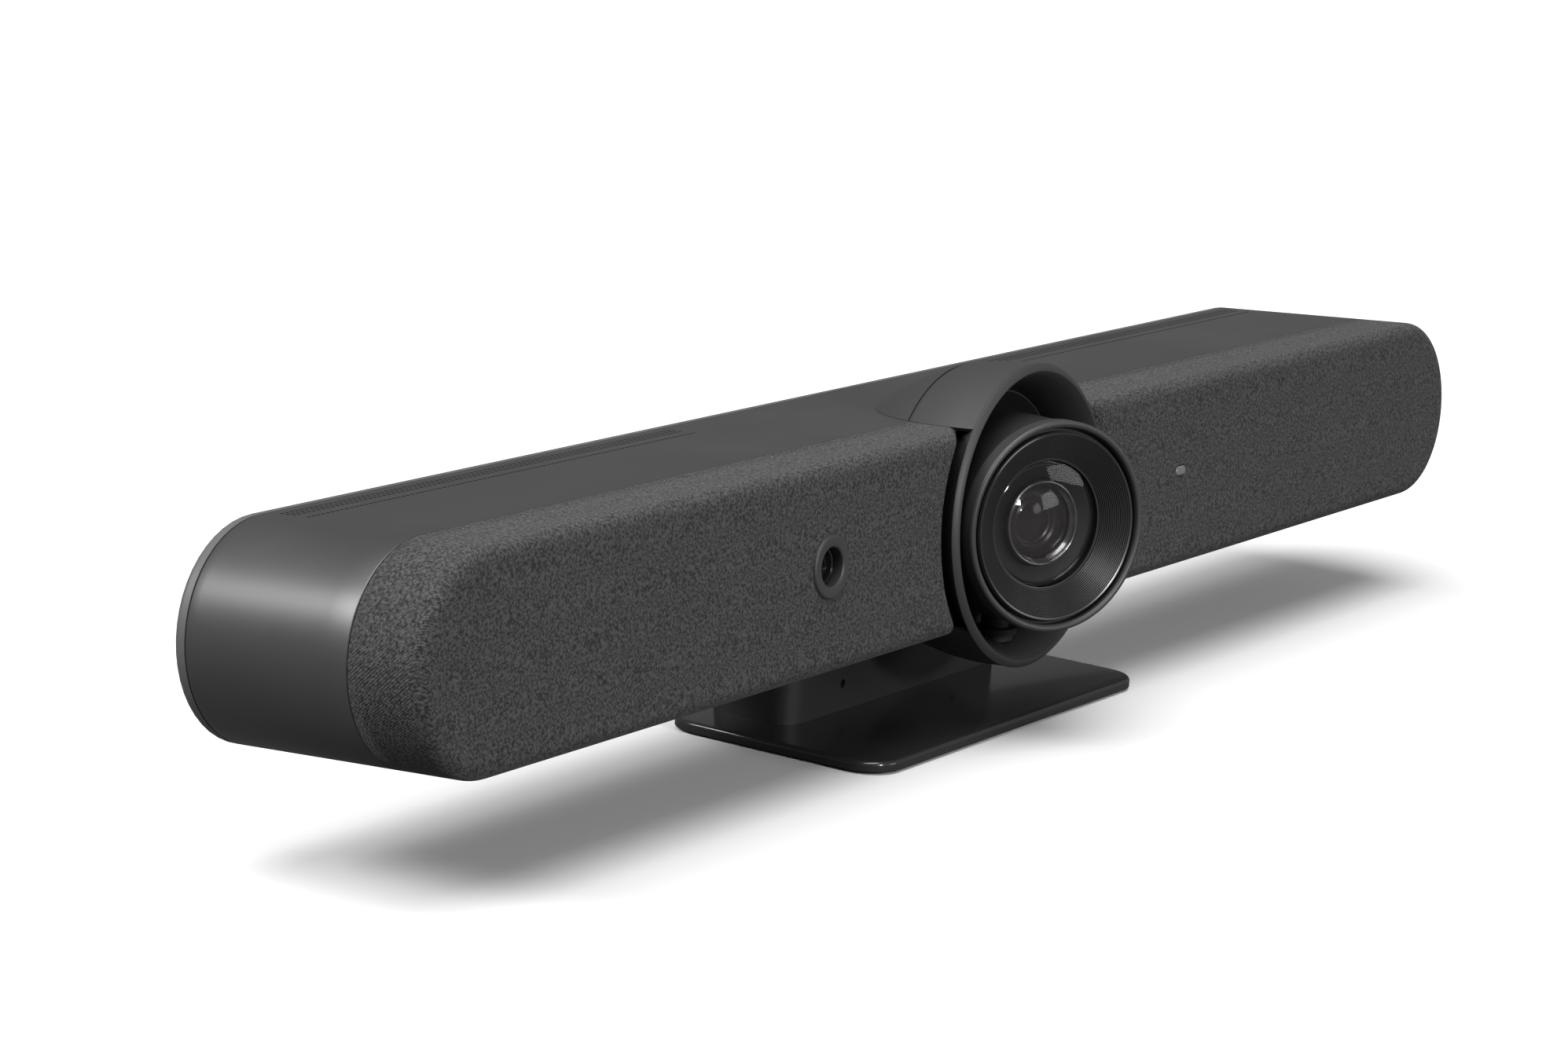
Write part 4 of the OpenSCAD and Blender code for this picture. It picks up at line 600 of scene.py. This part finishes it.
def head_pieces():
    """Ring, hood, window, barrel and glasses, as profiles of radius over distance from the pivot."""
    front = RING_FRONT
    outer = [(35.0, 30.9), (37.6, 30.9), (38.0, 31.3), (38.0, front - 1.6)]
    outer += arc(36.9, front - 1.1, 1.1, 0, 90, 6)
    outer += [(36.2, front - 0.1), (35.8, front - 0.4), (35.6, front - 0.9), (35.6, front - 4.4),
              (34.0, front - 4.4), (34.0, 30.9)]
    lathe("lens_ring_shell", outer, LENS, "head", RING_BLACK, ["lens_ring"], steps=192)
    groove = [(35.55, front - 1.6), (35.55, front - 4.3), (33.9, front - 4.3), (33.9, front - 1.6)]
    groove += [(34.05, front - 1.6), (34.05, front - 4.1), (35.4, front - 4.1), (35.4, front - 1.6)]
    lathe("ring_groove", groove, LENS, "head", INNER, steps=160)
    hood = [(33.8, 31.2), (33.8, front - 1.0), (33.5, front - 0.7)]
    r0, r1, s0, s1 = 33.1, 23.6, front - 0.8, front - 6.9
    for i in range(HOOD_RINGS):
        a, b = i / HOOD_RINGS, (i + 1) / HOOD_RINGS
        hood += [(r0 + (r1 - r0) * a - 0.08, s0 + (s1 - s0) * a - 0.02),
                 (r0 + (r1 - r0) * (a + 0.60 / HOOD_RINGS), s0 + (s1 - s0) * (a + 0.40 / HOOD_RINGS)),
                 (r0 + (r1 - r0) * (a + 0.66 / HOOD_RINGS), s0 + (s1 - s0) * b - HOOD_GROOVE),
                 (r0 + (r1 - r0) * (a + 0.86 / HOOD_RINGS), s0 + (s1 - s0) * b - HOOD_GROOVE)]
    hood += [(23.4, front - 7.2), (22.9, front - 7.3), (22.9, front - 8.1), (24.5, front - 8.1), (33.0, 30.9)]
    lathe("lens_hood_shell", hood, LENS, "head", HOOD_BLACK, ["lens_hood"], steps=192, sharp=24)
    glass = front - 8.0
    pane = [(0, glass + 0.5), (12, glass + 0.42), (22.4, glass + 0.1), (22.7, glass - 0.1), (22.7, glass - 0.9),
            (0, glass - 0.9)]
    lathe("window_pane", pane, LENS, "head", WINDOW, ["window_glass"], steps=128, closed=False)
    back = front - 9.6
    face = [(22.5, back - 2.4), (22.5, back), (21.8, back + 0.1), (21.3, back - 0.5), (17.4, back - 2.2),
            (16.2, back - 2.6), (15.6, back - 2.2), (15.4, back + 0.1)]
    face += [(14.4, back + 0.1), (13.9, back - 0.8), (13.2, back - 1.7), (12.9, back - 2.0), (12.9, back - 3.0),
             (12.2, back - 3.4), (11.6, back - 6.6), (11.6, back - 7.4), (22.5, back - 7.4)]
    lathe("barrel_face", face, LENS, "head", BLACK_GLOSS, ["lens_barrel"], steps=128)
    rim = arc(14.9, back + 0.1, 0.55, 0, 180, 8)
    rim += [(13.7, back - 0.7), (13.1, back - 1.5), (14.3, back - 1.5), (15.4, back - 0.6)]
    lathe("lens_rim_band", rim, LENS, "head", RIM, steps=128)
    dome = [(12.8, back - 3.0), (12.8, back - 2.2)] + bulge(12.8, 2.3, back - 2.2, spread(12.4, 0, 14))
    dome += [(0, back - 3.0)]
    lathe("front_element", dome, LENS, "head", LENS_GLASS, ["front_lens"], steps=96, closed=False)
    inner = [(11.5, back - 7.2), (11.5, back - 5.6), (10.7, back - 5.2), (9.6, back - 5.0), (8.6, back - 5.4),
             (8.2, back - 6.4), (7.6, back - 6.6), (6.6, back - 6.2), (6.2, back - 7.2)]
    lathe("inner_rings", inner, LENS, "head", HOOD_BLACK, steps=96)
    deep = [(8.1, back - 7.1), (8.1, back - 6.9)] + bulge(8.1, 1.7, back - 6.9, spread(7.8, 0, 10))
    deep += [(0, back - 7.1)]
    lathe("deep_element", deep, LENS, "head", DEEP_GLASS, steps=64, closed=False)


head_pieces()


# Viewfinder and light

def finder_pieces():
    """Viewfinder: ring, barrel and lens, as profiles of radius over distance from the seam."""
    place = BAR @ Matrix.Translation((-FINDER_X, 0, FRONT_Z)) @ TO_FRONT
    face = CLOTH_D
    ring = [(7.4, face - 8), (7.4, face - 3.2), (6.8, face - 1.4), (6.8, face + 0.5)]
    ring += [(7.3, face + 0.95), (8.0, face + 1.05), (9.9, face + 1.05)]
    ring += arc(10.1, face + 0.15, 0.9, 90, 0, 5) + [(11.0, face - 0.3), (10.0, face - 0.6), (9.6, face - 8)]
    lathe("finder_ring", ring, place, "bar", ARCH_BLACK, ["viewfinder_ring"], steps=96)
    barrel = [(6.9, face - 7.8), (6.9, face - 3.4), (6.3, face - 3.0), (5.7, face - 3.4), (5.2, face - 5.2),
              (4.1, face - 5.4), (4.1, face - 6.6)]
    lathe("finder_barrel", barrel, place, "bar", BLACK_GLOSS, ["viewfinder_barrel"], steps=72)
    eye = [(4.05, face - 6.4)] + bulge(4.05, 1.9, face - 6.0, spread(4.0, 0, 8)) + [(0, face - 6.4)]
    lathe("finder_lens", eye, place, "bar", DEEP_GLASS, ["viewfinder_lens"], steps=64,
          closed=False)


LIGHT_W, LIGHT_H = 7.4, 3.4


def light_window():
    """Window of the status light, with a softened edge in front of the cloth."""
    bm = bmesh.new()
    rows = []
    for proud, inset in ((-1.6, 0.0), (0.1, 0.0), (0.35, 0.25), (0.4, 0.6)):
        y, r = -CLOTH_D - proud, LIGHT_H / 2 - inset
        loop = [(LIGHT_X + (LIGHT_W - LIGHT_H) / 2 + x, y, FRONT_Z + z) for x, z in arc(0, 0, r, -90, 90, 10)]
        loop += [(LIGHT_X - (LIGHT_W - LIGHT_H) / 2 + x, y, FRONT_Z + z) for x, z in arc(0, 0, r, 90, 270, 10)]
        rows.append(loop)
    grid = net(bm, rows, close_columns=True)
    bm.faces.new(grid[0])
    bm.faces.new(grid[-1])
    finish_piece("light_window", bm, BAR, "bar", LIGHT, ["status_light"])


finder_pieces()
light_window()


# Stand

PLATE_W, PLATE_D, PLATE_R = 191.0, 92.0, 13.0
PLATE_LOW, PLATE_HIGH, PLATE_BEVEL, PLATE_EDGE = 0.8, 4.8, 1.5, 0.4


def rounded_loop(w, d, r, z, steps=12):
    """Points of a rounded rectangle that lies flat."""
    loop = []
    for sx, sy, start in ((1, -1, -90), (1, 1, 0), (-1, 1, 90), (-1, -1, 180)):
        for x, y in arc(sx * (w / 2 - r), sy * (d / 2 - r), r, start, start + 90, steps):
            loop.append((x, y, z))
    return loop


def plate_row(inset, z):
    return rounded_loop(PLATE_W - 2 * inset, PLATE_D - 2 * inset, PLATE_R - inset, z)


def stand_plate():
    """The stand's plate, with a round bevel along its top edge."""
    bm = bmesh.new()
    rows = [plate_row(PLATE_EDGE, PLATE_LOW), plate_row(0, PLATE_LOW + PLATE_EDGE)]
    for a in spread(0, math.pi / 2, 6):
        rows.append(plate_row(PLATE_BEVEL * (1 - math.cos(a)), PLATE_HIGH - PLATE_BEVEL * (1 - math.sin(a))))
    grid = net(bm, rows, close_columns=True)
    bm.faces.new(grid[0])
    bm.faces.new(grid[-1])
    finish_piece("plate_shell", bm, ROW, "bar", STAND_BLACK, ["stand_plate"])


stand_plate()


# Floor, lights and camera

FLOOR_REACH = 14
FLOOR_GREY, FLOOR_WHITE = 0.10, 0.97
WORLD_FILL = 0.14
SUN_POWER, SUN_SPREAD, SUN_TURN = 3.0, 55, (3, -14)
# Each lamp: name, place, the point it faces, its width and height in metres, and its power in watts
LAMPS = (
    ("rear_left_softbox", (-2.1, 1.2, 1.75), (-0.35, 0.0, 0.08), (1.2, 0.75), 48.0),
    ("key_spot", (-0.70, -2.25, 0.80), (0.0, -0.05, 0.08), (0.20, 0.20), 26.0),
    ("front_softbox", (0.9, -1.9, 0.55), (0.05, 0, 0.08), (0.9, 0.5), 5.0),
)
# The photograph's camera: focal length and width in pixels, place in millimetres, right and back directions
FOCAL_PX, PHOTO_PX, SENSOR = 5653.3, 1995, 36.0
CAMERA_AT = (-1376.5, -799.8, 405.7)
CAMERA_RIGHT, CAMERA_BACK = (0.5411, -0.8381, 0.0702), (-0.8295, -0.5181, 0.2088)


def white_floor():
    """Floor that the camera sees as white, and that throws little light back on the object."""
    bm = bmesh.new()
    bmesh.ops.create_grid(bm, x_segments=4, y_segments=4, size=FLOOR_REACH)
    mesh = bpy.data.meshes.new("floor")
    bm.to_mesh(mesh)
    bm.free()
    floor = bpy.data.objects.new("floor", mesh)
    bpy.context.scene.collection.objects.link(floor)
    finish = Finish("floor_paper", 0.9)
    finish.shader.inputs["Specular IOR Level"].default_value = 0.1
    path = finish.tree.nodes.new("ShaderNodeLightPath")
    through = Num(finish.tree, path.outputs["Is Transmission Ray"])
    seen = Num(finish.tree, path.outputs["Is Camera Ray"]).math("MAXIMUM", through)
    grain = finish.noise(3, 2.0)
    finish.blend(seen + (grain - 0.5) * 0.02, grey(FLOOR_GREY), grey(FLOOR_WHITE))
    mesh.materials.append(finish.material)


def area_light(name, place, aim, size, watts):
    data = bpy.data.lights.new(name, "AREA")
    data.shape = "RECTANGLE"
    data.size, data.size_y = size
    data.energy = watts
    lamp = bpy.data.objects.new(name, data)
    lamp.location = place
    lamp.rotation_euler = (Vector(aim) - Vector(place)).to_track_quat("-Z", "Y").to_euler()
    bpy.context.scene.collection.objects.link(lamp)


def lights():
    """A white surround that lights little, a soft sun from above and three lamps."""
    world = bpy.data.worlds.new("studio")
    bpy.context.scene.world = world
    world.use_nodes = True
    back = world.node_tree.nodes["Background"]
    back.inputs["Color"].default_value = (1, 1, 1, 1)
    path = world.node_tree.nodes.new("ShaderNodeLightPath")
    seen = Num(world.node_tree, path.outputs["Is Camera Ray"])
    strength = seen * (1 - WORLD_FILL) + WORLD_FILL
    world.node_tree.links.new(strength.socket, back.inputs["Strength"])
    data = bpy.data.lights.new("overhead", "SUN")
    data.energy = SUN_POWER
    data.angle = math.radians(SUN_SPREAD)
    sun = bpy.data.objects.new("overhead", data)
    sun.rotation_euler = (math.radians(SUN_TURN[0]), math.radians(SUN_TURN[1]), 0)
    bpy.context.scene.collection.objects.link(sun)
    for lamp in LAMPS:
        area_light(*lamp)


def camera():
    """Camera of the photograph, by its fitted place, directions and focal length."""
    data = bpy.data.cameras.new("photo_camera")
    data.sensor_width = SENSOR
    data.lens = SENSOR * FOCAL_PX / PHOTO_PX
    data.clip_start, data.clip_end = 0.05, 60
    shot = bpy.data.objects.new("photo_camera", data)
    bpy.context.scene.collection.objects.link(shot)
    right, back = Vector(CAMERA_RIGHT).normalized(), Vector(CAMERA_BACK).normalized()
    up = back.cross(right)
    turn = Matrix((right, up, back)).transposed().to_4x4()
    shot.matrix_world = Matrix.Translation(Vector(CAMERA_AT) * MM) @ turn
    bpy.context.scene.camera = shot


white_floor()
lights()
camera()
bpy.context.scene.view_settings.view_transform = "Standard"
